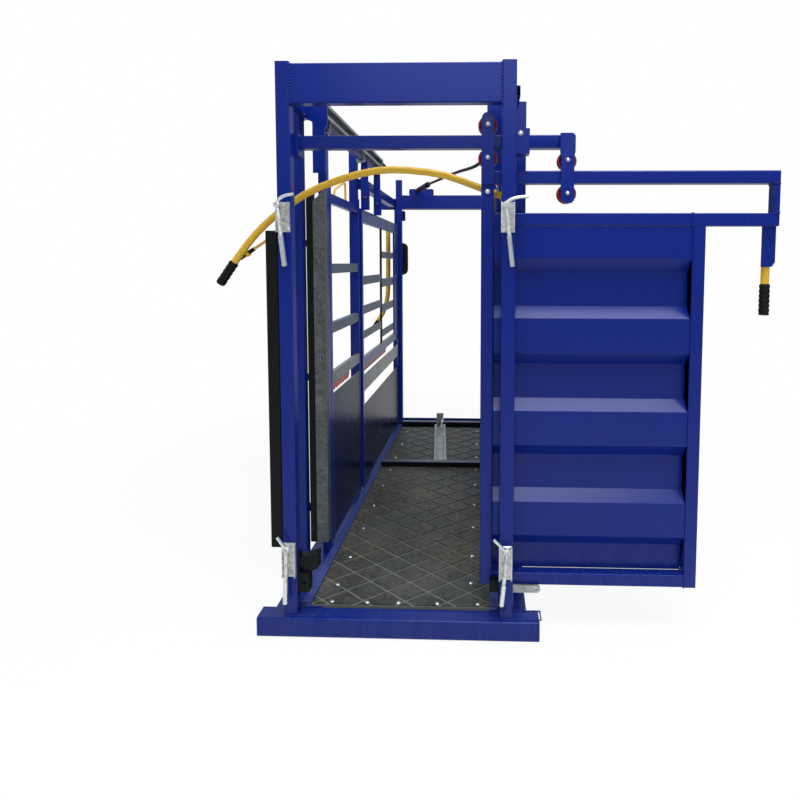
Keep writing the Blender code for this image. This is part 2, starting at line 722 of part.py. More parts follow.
def build_body(b):
    """Side frames, roof rails, end channels and rubber strips."""
    for name, side in SIDES:
        outer = BODY_INNER + TUBE
        low, high = sided(side, (BASE_INNER, SILL_FRONT + GAP, 0.0), (outer, BODY_FRONT - GAP, BASE_HEIGHT))
        members = [member(low, high, "Y", ("open", "open"), wall=0.003)]
        for y in (BODY_REAR, BODY_MIDDLE):
            low, high = sided(side, (BODY_INNER, y, BASE_HEIGHT - WELD), (outer, y + TUBE, ROOF_HIGH))
            members.append(member(low, high, "Z", ("join", "closed"), wall=0.003))
            low, high = sided(side, (ROOF_OUTER + GAP, y + 0.004, 2.106),
                              (BODY_INNER + WELD, y + TUBE - 0.004, 2.164))
            ends = ("open", "join") if side > 0 else ("join", "open")
            members.append(member(low, high, "X", ends, wall=0.003, corner=0.0))
        low, high = sided(side, (WALL_INNER, WALL_POST_Y, BASE_HEIGHT - WELD),
                          (WALL_INNER + WALL_POST, WALL_POST_Y + 0.035, ROOF_HIGH - 0.005))
        members.append(member(low, high, "Z", ("join", "closed"), corner=0.0))
        low, high = sided(side, (0.430, 0.050 + GAP, 2.112), (0.470, BODY_REAR + WELD, 2.152))
        members.append(member(low, high, "Y", ("open", "join"), corner=0.0))
        low, high = sided(side, (0.4175, BODY_MIDDLE + TUBE - WELD, 1.945), (0.4660, BODY_FRONT - GAP, 2.005))
        members.append(member(low, high, "Y", ("closed", "open"), corner=0.0))

        extras = [
            outline(flipped(side, HAUNCH), BODY_REAR - 0.008, BODY_REAR + 0.0007, "Y"),
        ]
        low, high = sided(side, (ROOF_OUTER + GAP, WALL_POST_Y + 0.005, 2.115),
                          (WALL_INNER + WELD, WALL_POST_Y + 0.030, 2.158))
        extras.append(block(low, high))
        for z in (0.35, 0.95, 1.55):
            low, high = sided(side, (0.448 + GAP, BODY_REAR + 0.012, z),
                              (BODY_INNER + WELD, BODY_REAR + 0.036, z + 0.030))
            extras.append(block(low, high))
        for z in (0.405, 1.505):
            extras.append(disc((side * VET_AXIS_X, VET_AXIS_Y, z - 0.0255), 0.0085, 0.050, "Z", 16))
            extras.append(disc((side * VET_AXIS_X, VET_AXIS_Y, z + 0.020), 0.0055, 0.060, "Z", 16))
            low, high = sided(side, (WALL_INNER + WALL_POST - WELD, VET_AXIS_Y - 0.012, z - 0.050),
                              (VET_AXIS_X, VET_AXIS_Y - 0.003, z - 0.001))
            extras.append(block(low, high))
        for y in (SQUEEZE_REAR + 0.16, SQUEEZE_FRONT - 0.10):
            extras += floor_hinge(side, y, False)
        b.part(f"side_frame_{name}", b.weld(members, extras), "blue")

        build_roof_rail(b, name, side)
        build_crank(b, name, side)
        x0, x1 = 0.365, 0.4173
        web = 0.003
        profile = [
            (x0, BODY_REAR), (x1, BODY_REAR), (x1, BODY_REAR + 0.040), (x1 - web, BODY_REAR + 0.040),
            (x1 - web, BODY_REAR + web), (x0 + web, BODY_REAR + web), (x0 + web, BODY_REAR + 0.040),
            (x0, BODY_REAR + 0.040),
        ]
        channel = outline(flipped(side, profile), 0.213, 1.800, "Z")
        slant = flipped(side, [
            (x1 + 0.002, 1.745), (x0 - 0.002, 1.801), (x0 - 0.002, 1.830), (x1 + 0.002, 1.830),
        ])
        channel = b.cut(channel, [
            outline(slant, BODY_REAR - 0.010, BODY_REAR + 0.060, "Y"),
            disc((side * 0.387, BODY_REAR, 1.055), 0.006, 0.020, "Y", 16),
        ])
        b.part(f"end_channel_{name}", channel, "galvanised")
        low, high = sided(side, (0.4176, BODY_REAR + 0.001, 0.213), (0.448, BODY_REAR + 0.039, 1.783))
        b.part(f"seal_strip_{name}", block(low, high, "Z", 0.003, 1), "rubber")


def floor_hinge(side, y, moving):
    """Hinge barrel of the squeeze panel with its leaf: the fixed half or the panel's half."""
    shift = 0.0305 if moving else 0.0
    x, z = SQUEEZE_AXIS_X, SQUEEZE_AXIS_Z
    barrel = disc((side * x, y + shift, z), 0.009, 0.060, "Y", 16)
    if moving:
        low, high = sided(side, (x - 0.004, y + shift - 0.030, z),
                          (x + 0.004, y + shift + 0.030, PANEL_LOW + WELD))
    else:
        low, high = sided(side, (x - 0.004, y - 0.030, BASE_HEIGHT - WELD), (x + 0.004, y + 0.030, z))
    return [barrel, block(low, high)]


def build_roof_rail(b, name, side):
    """Galvanised lipped channel, open towards the middle, with bearing ears for the crank tube."""
    lip, sheet = 0.014, 0.003
    low, high = ROOF_LOW, ROOF_HIGH
    inner, outer = ROOF_INNER, ROOF_OUTER
    section = [
        (inner, low), (outer, low), (outer, high), (inner, high), (inner, high - lip),
        (inner + sheet, high - lip), (inner + sheet, high - sheet), (outer - sheet, high - sheet),
        (outer - sheet, low + sheet), (inner + sheet, low + sheet), (inner + sheet, low + lip),
        (inner, low + lip),
    ]
    pieces = [outline(flipped(side, section), ROOF_REAR, ROOF_FRONT, "Y")]
    for y in (0.420, 1.150, 1.560):
        ear = [(CRANK_X - 0.024, 2.058), (CRANK_X + 0.024, 2.058), (CRANK_X + 0.024, 2.092),
               (CRANK_X + 0.008, low + WELD), (CRANK_X - 0.024, low + WELD)]
        hole = circle((CRANK_X, CRANK_Z), 0.0168, 20)
        pieces.append(outline(flipped(side, ear), y, y + 0.008, "Y", [flipped(side, hole)]))
    pieces.append(block(*sided(side, (inner + WELD, ROOF_FRONT - 0.004, low + WELD),
                               (outer - WELD, ROOF_FRONT + 0.002, high - WELD))))
    b.part(f"roof_rail_{name}", b.join(pieces), "galvanised")

    start, turns, outside, core = ROOF_FRONT + 0.0023, 6, 0.031, 0.026
    pitch = (SPRING_END - start) / turns
    profile = [(0.0, start), (core, start)]
    for i in range(turns):
        at = start + i * pitch
        profile += [(outside, at + pitch * 0.30), (outside, at + pitch * 0.62), (core, at + pitch * 0.92)]
    profile += [(core - 0.004, SPRING_END), (0.0, SPRING_END)]
    coil = turned(profile, 16, ring=False)
    middle = (inner + outer) / 2
    coil.transform(Matrix.Translation((side * middle, 0.0, 2.130)) @ Matrix.Rotation(-pi / 2, 4, "X"))
    b.part(f"roof_buffer_{name}", coil, "rubber")


def build_crank(b, name, side):
    """Torque tube under the roof with two arms whose pins push the squeeze panel's top."""
    y0, y1 = 0.340, ROOF_FRONT
    x, z = side * CRANK_X, CRANK_Z
    pieces = [disc((x, (y0 + y1) / 2, z), 0.016, y1 - y0, "Y", 20)]
    for y in CRANK_ARMS_Y:
        arm = [
            (-0.020, 0.0), (-0.012, 0.014), (0.012, 0.014), (0.020, 0.0), (0.022, -0.060),
            (0.022, -CRANK_LENGTH + 0.006), (0.016, -CRANK_LENGTH), (-0.016, -CRANK_LENGTH),
            (-0.022, -CRANK_LENGTH + 0.006), (-0.022, -0.060),
        ]
        pieces.append(outline([(x + u, z + v) for u, v in arm], y, y + 0.012, "Y"))
        pieces.append(disc((x, y + 0.021, z - CRANK_PIN), 0.008, 0.022, "Y", 16))
    crank = b.join(pieces)
    crank = b.cut(crank, [disc((x, y0 + 0.9, z), 0.0125, y1 - y0, "Y", 20)])
    b.part(f"squeeze_crank_{name}", crank, "blue", (x, y0, z))


def build_vet_gate(b):
    """Access gate in each wall's rear bay, hung on the wall post."""
    for name, side in SIDES:
        inner, outer = WALL_INNER, WALL_INNER + WALL_POST
        members = []
        for y0, y1 in ((VET_REAR, VET_REAR + 0.030), (VET_FRONT - 0.030, VET_FRONT)):
            low, high = sided(side, (inner, y0, PANEL_LOW), (outer, y1, VET_TOP))
            members.append(member(low, high, "Z", ("open", "closed"), corner=0.0))
        bars = ((1.767, 1.812), (1.427, 1.475), (1.135, 1.185), (0.690, 0.725), (PANEL_LOW, 0.150))
        for z0, z1 in bars:
            low, high = sided(side, (inner + 0.004, VET_REAR + 0.030 - WELD, z0),
                              (outer - 0.010, VET_FRONT - 0.030 + WELD, z1))
            members.append(member(low, high, "Y", ("join", "join"), wall=0.004, corner=0.0))
        extras = []
        y0, y1 = VET_REAR + 0.030 - WELD, VET_FRONT - 0.030 + WELD
        low, high = sided(side, (inner + 0.001, y0, 0.140), (inner + 0.0045, y1, 0.742))
        extras.append(block(low, high))
        low, high = sided(side, (inner + 0.001, y0, 0.742 - WELD), (inner + 0.009, y1, 0.838))
        extras.append(block(low, high))
        bow = [
            (0.700, 1.8098), (0.701, 1.835), (0.740, 1.857), (0.900, 1.908), (0.925, 1.900),
            (0.931, 1.8098),
        ]
        extras.append(pipe([(side * (inner + 0.018), y, z) for y, z in bow], 0.006, 2))
        extras += [lipped_channel(side, inner, y0, y1, 0.890, 0.945)]
        for z in (0.455, 1.555):
            extras.append(disc((side * VET_AXIS_X, VET_AXIS_Y, z - 0.0245), 0.0085, 0.050, "Z", 16))
            low, high = sided(side, (inner + WALL_POST - 0.0015, VET_AXIS_Y + 0.0062, z - 0.0485),
                              (VET_AXIS_X, VET_REAR + 0.006, z - 0.0005))
            extras.append(block(low, high))
        holes = [
            disc((side * VET_AXIS_X, VET_AXIS_Y, z - 0.025), 0.0062, 0.070, "Z", 16)
            for z in (0.455, 1.555)
        ]
        gate = b.weld(members, extras, holes)
        b.part(f"vet_gate_{name}", gate, "blue", (side * VET_AXIS_X, VET_AXIS_Y, 0.0))
        rack = toothed_rack(side, inner + 0.0095, 0.580, 0.940, 0.845, 0.8897)
        b.part(f"bar_rack_rear_{name}", rack, "red", (side * VET_AXIS_X, VET_AXIS_Y, 0.0))


def lipped_channel(side, inner, y0, y1, low, high):
    """Galvanised C channel along the wall, its web towards the animal."""
    depth, sheet = 0.022, 0.003
    section = [
        (inner + 0.001, low), (inner + depth, low), (inner + depth, low + sheet),
        (inner + 0.001 + sheet, low + sheet), (inner + 0.001 + sheet, high - sheet),
        (inner + depth, high - sheet), (inner + depth, high),
        (inner + 0.001, high),
    ]
    return outline(flipped(side, section), y0, y1, "Y")


def toothed_rack(side, x, y0, y1, low, high):
    """Red saw-toothed strip under the channel; the anti-back bar catches in its teeth."""
    teeth = round((y1 - y0) / 0.045)
    pitch = (y1 - y0) / teeth
    points = [(y0, high), (y1, high)]
    for i in range(teeth):
        end = y1 - i * pitch
        points += [(end, low + 0.018), (end - pitch * 0.75, low)]
    points.append((y0, low + 0.018))
    x0, x1 = sorted((side * x, side * (x + 0.006)))
    return outline(points, x0, x1, "X")


def build_squeeze_panel(b):
    """Side panel in each wall's front bay, hinged at the floor and pressed in at the top."""
    for name, side in SIDES:
        inner, outer = SQUEEZE_INNER, SQUEEZE_INNER + WALL_POST
        strap = 1.860
        members = []
        for y0 in (SQUEEZE_REAR, SQUEEZE_FRONT - 0.030):
            low, high = sided(side, (inner, y0, PANEL_LOW), (outer, y0 + 0.030, PANEL_TOP))
            members.append(member(low, high, "Z", ("open", "closed"), corner=0.0))
        y0, y1 = SQUEEZE_REAR + 0.030 - WELD, SQUEEZE_FRONT - 0.030 + WELD
        low, high = sided(side, (inner + 0.004, y0, 1.722), (outer - 0.006, y1, 1.797))
        members.append(member(low, high, "Y", ("join", "join"), wall=0.002, corner=0.0))
        low, high = sided(side, (inner + 0.004, y0, PANEL_LOW), (outer - 0.006, y1, 0.150))
        members.append(member(low, high, "Y", ("join", "join"), wall=0.002, corner=0.0))
        extras = []
        for z0, z1 in ((1.345, 1.399), (1.166, 1.218), (1.015, 1.062)):
            low, high = sided(side, (inner + 0.008, y0, z0), (inner + 0.016, strap + WELD, z1))
            extras.append(block(low, high))
        for z0, z1 in ((1.512, 1.560), (1.305, 1.365), (1.125, 1.180), (0.945, 0.995)):
            low, high = sided(side, (inner + 0.008, strap + 0.025 - WELD, z0), (inner + 0.016, y1, z1))
            extras.append(block(low, high))
        low, high = sided(side, (inner + 0.006, strap, 0.899), (inner + 0.018, strap + 0.025, 1.723))
        extras.append(block(low, high))
        low, high = sided(side, (inner + 0.001, 2.400, 0.899), (inner + 0.009, y1, 1.723))
        extras.append(block(low, high))
        for z0, z1, thick in ((0.140, 0.615, 0.0035), (0.698, 0.795, 0.0080)):
            low, high = sided(side, (inner + 0.001, y0, z0), (inner + 0.001 + thick, y1, z1))
            extras.append(block(low, high))
        extras.append(lipped_channel(side, inner, y0, y1, 0.850, 0.905))
        for y in CRANK_ARMS_Y:
            u = CRANK_X
            fork = [
                (u - 0.026, 1.796), (u + 0.026, 1.796), (u + 0.026, 1.925), (u + 0.012, 1.925),
                (u + 0.012, 1.872), (u - 0.012, 1.872), (u - 0.012, 1.925), (u - 0.026, 1.925),
            ]
            extras.append(outline(flipped(side, fork), y + 0.016, y + 0.024, "Y"))
        for y in (SQUEEZE_REAR + 0.16, SQUEEZE_FRONT - 0.10):
            extras += floor_hinge(side, y + 0.030, True)
        panel = b.weld(members, extras)
        origin = (side * SQUEEZE_AXIS_X, SQUEEZE_REAR, SQUEEZE_AXIS_Z)
        b.part(f"squeeze_panel_{name}", panel, "blue", origin)
        rack = toothed_rack(side, inner + 0.0185, 1.245, 2.100, 0.805, 0.8497)
        b.part(f"bar_rack_front_{name}", rack, "red", origin)


def build_squeeze_lever(b):
    """Curved lever with its grip, release rod and the pivot bracket on the right side frame."""
    px, pz = LEVER_PIVOT
    points = [(x, LEVER_Y, z) for x, z in LEVER_LINE]
    line = smooth_line(points, 2)
    inner = [*line[1:-1], line[-1] + (line[-1] - line[-2]) * 0.3]
    body = b.cut(pipe(line, LEVER_RADIUS, 3), [pipe(inner, LEVER_RADIUS - 0.003, 2)])
    hub = disc((px, LEVER_Y, pz), 0.026, 0.044, "Y", 28)
    web = [(px - 0.010, pz - 0.012), (0.372, 1.752), (0.372, 1.777), (px - 0.006, pz + 0.016)]
    pieces = [body, hub, outline(web, LEVER_Y - 0.006, LEVER_Y + 0.006, "Y")]
    start, end = Vector((ROD_START[0], ROD_Y, ROD_START[1])), Vector((ROD_END[0], ROD_Y, ROD_END[1]))
    run = (end - start).normalized()
    for share in (0.10, 0.86):
        place = start.lerp(end, share)
        turn = Matrix.Translation(place) @ run.to_track_quat("Z", "Y").to_matrix().to_4x4()
        collar = disc((0.0, 0.0, 0.0), 0.0135, 0.016, "Z", 16)
        collar.transform(turn)
        pieces.append(collar)
        target = lever_point(place.x, line)
        strut = pipe([place + (target - place).normalized() * 0.0115, target], 0.005, 2)
        pieces.append(strut)
    lever = b.join(pieces)
    tunnel = pipe([start - run * 0.05, end + run * 0.05], ROD_SLEEVE + 0.0008, 3)
    lever = b.cut(lever, [disc((px, LEVER_Y, pz), 0.0130, 0.080, "Y", 24), tunnel])
    b.part("squeeze_lever", lever, "yellow", (px, LEVER_Y, pz))

    tip = Vector((LEVER_GRIP_END[0], LEVER_Y, LEVER_GRIP_END[1]))
    direction = (tip - line[-1]).normalized()
    grip = grip_sleeve(line[-1] + direction * 0.0005, tip)
    b.part("squeeze_lever_grip", grip, "rubber", (px, LEVER_Y, pz))

    rod = pipe([start, end], ROD_RADIUS, 3)
    sleeve = pipe([end - run * 0.070, end + run * 0.004], ROD_SLEEVE, 3)
    b.part("squeeze_release_rod", b.join([rod, sleeve]), "yellow", start)

    plate = [(0.388, 1.700), (0.512, 1.700), (0.512, 1.800), (0.470, 1.812), (0.400, 1.790), (0.388, 1.775)]
    pivot = b.join([
        outline(plate, BODY_REAR - 0.0103, BODY_REAR - GAP, "Y"),
        disc((px, 0.2445, pz), 0.0125, 0.155, "Y", 24),
        disc((px, 0.164, pz), 0.019, 0.006, "Y", 6),
        disc((px, 0.268, pz), 0.020, 0.105, "Y", 24),
    ])
    b.part("squeeze_pivot", pivot, "blue")


def lever_point(x, line):
    """Point of the lever's centre line above a given X."""
    for a, c in zip(line, line[1:]):
        if c.x <= x <= a.x:
            return a.lerp(c, (a.x - x) / (a.x - c.x))
    return line[-1]


def grip_sleeve(start, end):
    """Rubber end grip along a straight line, with rounded ends and three rings."""
    length = (end - start).length
    profile = [(0.0, 0.0), (0.0165, 0.0), (0.0195, 0.004)]
    for i in range(4):
        z = 0.014 + i * (length - 0.030) / 4
        profile += [(0.0195, z), (0.0175, z + 0.006), (0.0195, z + 0.012)]
    profile += [(0.0195, length - 0.005), (0.0155, length), (0.0, length)]
    sleeve = turned(profile, 16, ring=False)
    turn = (end - start).to_track_quat("Z", "Y").to_matrix().to_4x4()
    sleeve.transform(Matrix.Translation(start) @ turn)
    return sleeve


def build_front(b):
    """Front frame with the tracks of the head bail, its jaws, pads and lever."""
    y0, y1 = BODY_FRONT, BODY_FRONT + TUBE
    inner = FRONT_INNER
    members = []
    for _, side in SIDES:
        low, high = sided(side, (inner, y0, FRONT_SILL_TOP - WELD), (inner + TUBE, y1, ROOF_HIGH))
        members.append(member(low, high, "Z", ("join", "closed")))
    members.append(member((-FRONT_HALF, y0, 0.0), (FRONT_HALF, y1, FRONT_SILL_TOP), "X",
                          ("open", "open"), wall=0.003))
    members.append(member((-inner - WELD, y0, FRONT_HEADER_LOW), (inner + WELD, y1, FRONT_HEADER_HIGH),
                          "X", ("join", "join"), corner=0.0))
    extras = []
    near, far, sheet = y1 - WELD, JAW_REAR + 0.072, 0.004
    for low, high, web in ((0.030, 0.115, 0.030), (1.935, 2.020, 2.016)):
        extras.append(block((-FRONT_HALF, far - sheet, low), (FRONT_HALF, far, high)))
        extras.append(block((-FRONT_HALF, near, web), (FRONT_HALF, far - sheet + WELD, web + sheet)))
    extras.append(block((-FRONT_HALF, near, 1.935), (FRONT_HALF, near + sheet, 2.017)))
    extras.append(block((-0.300, y0 + 0.004, FRONT_HEADER_HIGH - WELD), (-0.095, y1 - 0.010, 2.096),
                        "Y", 0.012, 2))
    py, pz = HEAD_LEVER_PIVOT
    reach = HEAD_LEVER_X + 0.032
    extras.append(disc((-(inner + TUBE + reach) / 2 + WELD / 2, py, pz), 0.010,
                       reach - inner - TUBE + WELD, "X", 20))
    extras.append(disc((-reach - 0.003, py, pz), 0.016, 0.007, "X", 6))
    b.part("front_frame", b.weld(members, extras), "blue")

    for name, side in SIDES:
        low, high = sided(side, (JAW_INNER, JAW_REAR, 0.040), (JAW_INNER + TUBE, JAW_REAR + TUBE, 2.005))
        tube = member(low, high, "Z", ("open", "closed"), wall=0.003, corner=0.004)
        low, high = sided(side, (0.345, JAW_REAR + 0.006, 1.836), (JAW_INNER + WELD, JAW_REAR + 0.044, 1.920))
        shoe = block(low, high, "Y", 0.006, 1)
        b.part(f"head_jaw_{name}", b.weld([tube], [shoe]), "blue")
        pad = flipped(side, [
            (JAW_INNER - GAP, 1.367), (JAW_INNER - GAP, 1.657), (0.338, 1.640), (0.324, 1.615),
            (0.324, 1.415), (0.336, 1.388),
        ])
        b.part(f"head_pad_{name}", outline(pad, JAW_REAR + 0.002, JAW_REAR + TUBE - 0.002, "Y"), "rubber")

    x = -HEAD_LEVER_X
    drop = smooth_line([
        (x, py, pz - 0.010), (x, py, 1.60), (x, py - 0.002, 1.38), (x - 0.004, py - 0.020, 1.20),
        (x - 0.025, py - 0.080, 1.08), (x - 0.060, py - 0.180, 0.995),
    ])
    lever = b.join([pipe(drop, 0.019, 3), disc((x, py, pz), 0.027, 0.044, "X", 24)])
    lever = b.cut(lever, [disc((x, py, pz), 0.0106, 0.080, "X", 20)])
    b.part("head_lever", lever, "yellow", (x, py, pz))
    direction = (drop[-1] - drop[-2]).normalized()
    grip = grip_sleeve(drop[-1] + direction * 0.0008, drop[-1] + direction * 0.120)
    b.part("head_lever_grip", grip, "rubber", (x, py, pz))

    route = smooth_line([
        (0.356, 0.580, ROOF_LOW - 0.002), (0.354, 0.585, 2.070), (0.334, 0.620, 1.995), (0.289, 0.700, 1.960),
        (0.178, 1.100, 1.993), (0.041, 1.600, 2.026), (-0.096, 2.100, 2.057), (-0.222, 2.560, 2.072),
        (-0.235, BODY_FRONT + 0.0025, 2.072),
    ], 4)
    sleeve = smooth_line([(-0.085, 2.060, 2.0545), (-0.150, 2.300, 2.0635), (-0.222, 2.560, 2.072)], 3)
    b.part("head_cable", b.join([pipe(route, 0.0085, 2), pipe(sleeve, 0.021, 2)]), "rubber")


def main():
    for obj in list(bpy.data.objects):
        bpy.data.objects.remove(obj)
    b = Builder()
    build_portal(b)
    build_rail(b)
    build_rollers(b)
    build_gate(b)
    build_latches(b)
    build_floor(b)
    build_body(b)
    build_vet_gate(b)
    build_squeeze_panel(b)
    build_squeeze_lever(b)
    build_front(b)


main()
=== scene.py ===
"""Cattle crush: finishes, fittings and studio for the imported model."""

import json
from math import cos, pi, radians, sin

import bmesh
import bpy
from bpy.props import FloatProperty, FloatVectorProperty, PointerProperty
from mathutils import Matrix, Vector


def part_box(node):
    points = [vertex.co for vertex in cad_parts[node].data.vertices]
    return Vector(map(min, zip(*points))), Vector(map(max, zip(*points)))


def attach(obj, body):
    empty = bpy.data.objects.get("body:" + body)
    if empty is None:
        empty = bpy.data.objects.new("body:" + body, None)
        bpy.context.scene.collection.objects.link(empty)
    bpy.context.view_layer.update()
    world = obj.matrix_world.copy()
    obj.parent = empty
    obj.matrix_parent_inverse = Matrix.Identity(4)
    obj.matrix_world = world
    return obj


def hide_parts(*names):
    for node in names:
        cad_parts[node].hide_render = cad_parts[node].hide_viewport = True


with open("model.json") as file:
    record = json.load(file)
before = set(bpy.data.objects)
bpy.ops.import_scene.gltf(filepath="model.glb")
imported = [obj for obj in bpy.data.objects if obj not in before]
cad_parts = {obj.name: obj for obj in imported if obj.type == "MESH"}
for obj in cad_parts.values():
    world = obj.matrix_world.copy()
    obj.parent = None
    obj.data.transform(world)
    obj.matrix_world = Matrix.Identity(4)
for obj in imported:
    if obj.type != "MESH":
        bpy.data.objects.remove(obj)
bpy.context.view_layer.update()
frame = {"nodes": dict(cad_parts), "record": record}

bl_info = {
    "name": "Cattle crush finishes",
    "version": (1, 0, 0),
    "blender": (4, 5, 0),
    "location": "3D View > Sidebar > Crush",
    "description": "Dresses the crush with its paint, rubber, zinc, fittings and studio",
    "category": "Object",
}

SIDES = (("left", -1), ("right", 1))
BODY = {
    node: body
    for body, nodes in frame["record"]["behaviour"]["bodies"].items()
    for node in nodes
}

# Sprayed paints: material, roughness, specular level and share of dust
ENAMELS = {
    "blue": ("blue_enamel", 0.25, 0.20, 0.40),
    "deck": ("trodden_enamel", 0.34, 0.30, 1.6),
    "navy": ("navy_enamel", 0.26, 0.08, 0.20),
    "yellow": ("yellow_enamel", 0.34, 0.30, 0.0),
    "red": ("red_enamel", 0.36, 0.30, 0.30),
    "rack": ("rack_enamel", 0.30, 0.30, 0.20),
}
# Dipped zincs: material, colour of the bloom and share of metal
ZINCS = {
    "galvanised": ("galvanised_steel", (0.55, 0.57, 0.57), 0.92),
    "pale": ("pale_zinc", (0.74, 0.75, 0.74), 0.55),
    "weathered": ("weathered_zinc", (0.42, 0.45, 0.44), 0.45),
}

# Swing latches: pin as (X, Z), height of the neck below it, ends of the arm and of the handle
# from the pin, and how far the handle bows up
LATCHES = {
    "latch_upper_left": ((-0.4440, 1.696), 0.113, (0.026, -0.232), (0.066, 0.039), 1.0),
    "latch_upper_right": ((0.4155, 1.696), 0.113, (0.026, -0.231), (0.082, 0.030), 1.0),
    "latch_lower_left": ((-0.4325, 0.364), 0.136, (-0.007, -0.222), (-0.033, 0.049), 0.0),
    "latch_lower_right": ((0.4285, 0.366), 0.134, (-0.020, -0.215), (-0.052, 0.052), 0.0),
}

LATCH_Y = -0.0265
# Radii of a latch: its rod, the sleeve below the neck, the handle and the ring at one foot
ROD_RADIUS = 0.0075
SLEEVE_RADIUS = 0.0098
HANDLE_RADIUS = 0.0064
RING_RADIUS = 0.0022
# Half the outline of a latch's eye: radius and height
EYE = [(0.0061, 0.0080), (0.0110, 0.0080), (0.0122, 0.0068)]

# Ribbed rubber: radius in the hollows and number of ribs
GRIP_RADIUS, GRIP_RIBS = 0.0178, 6.5
BUFFER_RADIUS, BUFFER_RIB_HEIGHT, BUFFER_RIBS = 0.0262, 0.0046, 6

# Line of the cable from the right roof rail to the head bail, and of the sheath at its far end
CABLE = (
    (0.356, 0.580, 2.106), (0.354, 0.585, 2.070), (0.334, 0.620, 1.995), (0.289, 0.700, 1.960),
    (0.178, 1.100, 1.993), (0.041, 1.600, 2.026), (-0.096, 2.100, 2.057), (-0.222, 2.560, 2.072),
    (-0.235, 2.6225, 2.072),
)
SHEATH = ((-0.085, 2.060, 2.0545), (-0.150, 2.300, 2.0635), (-0.222, 2.560, 2.072))
CABLE_DIAMETER = 0.017
SHEATH_RADIUS = 0.0205

# Bolts that no roller places: one of the portal, and one of the gate's hanger as (Y, Z)
PORTAL_BOLT = (0.470, 0.0100, 1.965)
HANGER_BOLT = (0.0650, 1.7560)
# Face of the hanger under its roller bolts, and how far the guide's bolts stand back
HANGER_FACE_Y = 0.0545
GUIDE_BOLT_DEPTH = 0.0028

# Bolts of the mats: the row at the gate, the places along an edge, and both edges as X and shift
MAT_ROW_Y = 0.078
MAT_ROW_X = (-0.283, -0.138, -0.010, 0.149, 0.315)
MAT_EDGE_Y = (0.20, 0.43, 0.72, 1.00, 1.29, 1.56, 1.80, 2.10, 2.42)
MAT_EDGES = ((-0.292, 0.0), (0.283, 0.03))
# Radius of their washers, height of their heads, and the bare margin round the diamonds
MAT_WASHER = 0.0115
MAT_BOLT_HEIGHT = 0.0040
MAT_MARGIN = 0.003
# Diamond that the mats' pattern is counted from, and the rows and columns that cover both mats
TILE_START = (0.017, 0.232)
TILE_ROWS = range(-2, 42)
TILE_COLUMNS = range(-4, 5)

# Welded joints of the gate: its tubes in Y, their width, the uprights' faces in X, the rails in Z,
# and the drop of the handle arm in X and Z
GATE_TUBE_Y = (0.066, 0.116)
TUBE = 0.050
GATE_JOINT_X = (0.372, 1.138)
GATE_RAIL_Z = (0.184, 1.624)
HANDLE_DROP_X = (1.443, 1.463)
HANDLE_ARM_Z = (1.674, 1.786)
# Welded joints of a side frame: its uprights in X and Y, their foot, the roof tube in Z, and the
# haunch in X, Z and Y
SIDE_POST_X = (0.463, 0.513)
SIDE_POST_Y = (0.330, 1.397)
SIDE_FOOT = 0.070
ROOF_TUBE_Z = (2.106, 2.164)
HAUNCH_X = (0.4175, 0.466)
HAUNCH_Z = (1.945, 2.005)
HAUNCH_Y = 1.447

# Zones of the pieces that stand on one side: finish, X from the centre line, Y and Z
POST_ZONES = {
    "left": [("rubber", (0.31, 0.3998), (0.005, 0.062), (0.14, 0.34))],
    "right": [
        ("rubber", (0.350, 0.3998), (0.020, 0.062), (0.15, 0.24)),
        ("galvanised", (0.410, 0.570), (0.0501, 0.062), (0.155, 0.200)),
        ("galvanised", (0.4545, 0.570), (0.0485, 0.062), (0.155, 0.200)),
    ],
}
VET_Y = (0.5742, 1.1608)
VET_ZONES = (
    ("galvanised", (0.4015, 0.4235), VET_Y, (0.8895, 0.9455)),
    ("galvanised", (0.4015, 0.4105), VET_Y, (0.7405, 0.8385)),
    ("navy", (0.4015, 0.4060), VET_Y, (0.1395, 0.7405)),
    ("yellow", (0.400, 0.440), VET_Y, (1.8125, 1.93)),
    ("slat", (0.400, 0.440), VET_Y, (1.134, 1.476)),
)
WALL_Y = (1.2342, 2.5708)
SLAT_X = (0.398, 0.4075)
REAR_SLATS = ((1.34, 1.40), (1.165, 1.219), (1.014, 1.063))
FRONT_SLATS = ((1.511, 1.561), (1.304, 1.366), (1.124, 1.181), (0.944, 0.996))
SQUEEZE_ZONES = (
    *(("slat", SLAT_X, (1.2342, 1.8610), z) for z in REAR_SLATS),
    *(("slat", SLAT_X, (1.8840, 2.5708), z) for z in FRONT_SLATS),
    ("rubber", (0.3965, 0.4095), (1.8595, 1.8855), (0.905, 1.722)),
    ("galvanised", (0.3915, 0.4135), WALL_Y, (0.8495, 0.9055)),
    ("galvanised", (0.3915, 0.4005), WALL_Y, (0.6975, 0.7955)),
    ("navy", (0.3915, 0.3960), WALL_Y, (0.1395, 0.6155)),
    ("slat", (0.390, 0.440), (1.8855, 2.5708), (1.7215, 1.7975)),
)
# Zones of single pieces: finish, low corner and high corner
DECK_ZONES = (
    ("rubber", (-0.362, 1.62, 0.080), (0.362, 1.6275, 0.1245)),
    ("weathered", (-0.362, 1.62, 0.1245), (0.362, 1.68, 0.130)),
)
FRONT_ZONES = (
    ("rubber", (-0.60, 2.60, 0.010), (0.60, 2.6205, 0.1190)),
    ("weathered", (-0.60, 2.60, 0.1190), (0.60, 2.68, 0.1300)),
)
RELEASE_ZONES = (("rubber", (-0.760, 0.190, 1.440), (-0.650, 0.240, 1.535)),)

# Bend in degrees above which an edge of the bent tubes and their grips stays sharp
TUBE_SHARP = 50.0
# Rounding of the head pads' edges
PAD_EDGE = 0.007

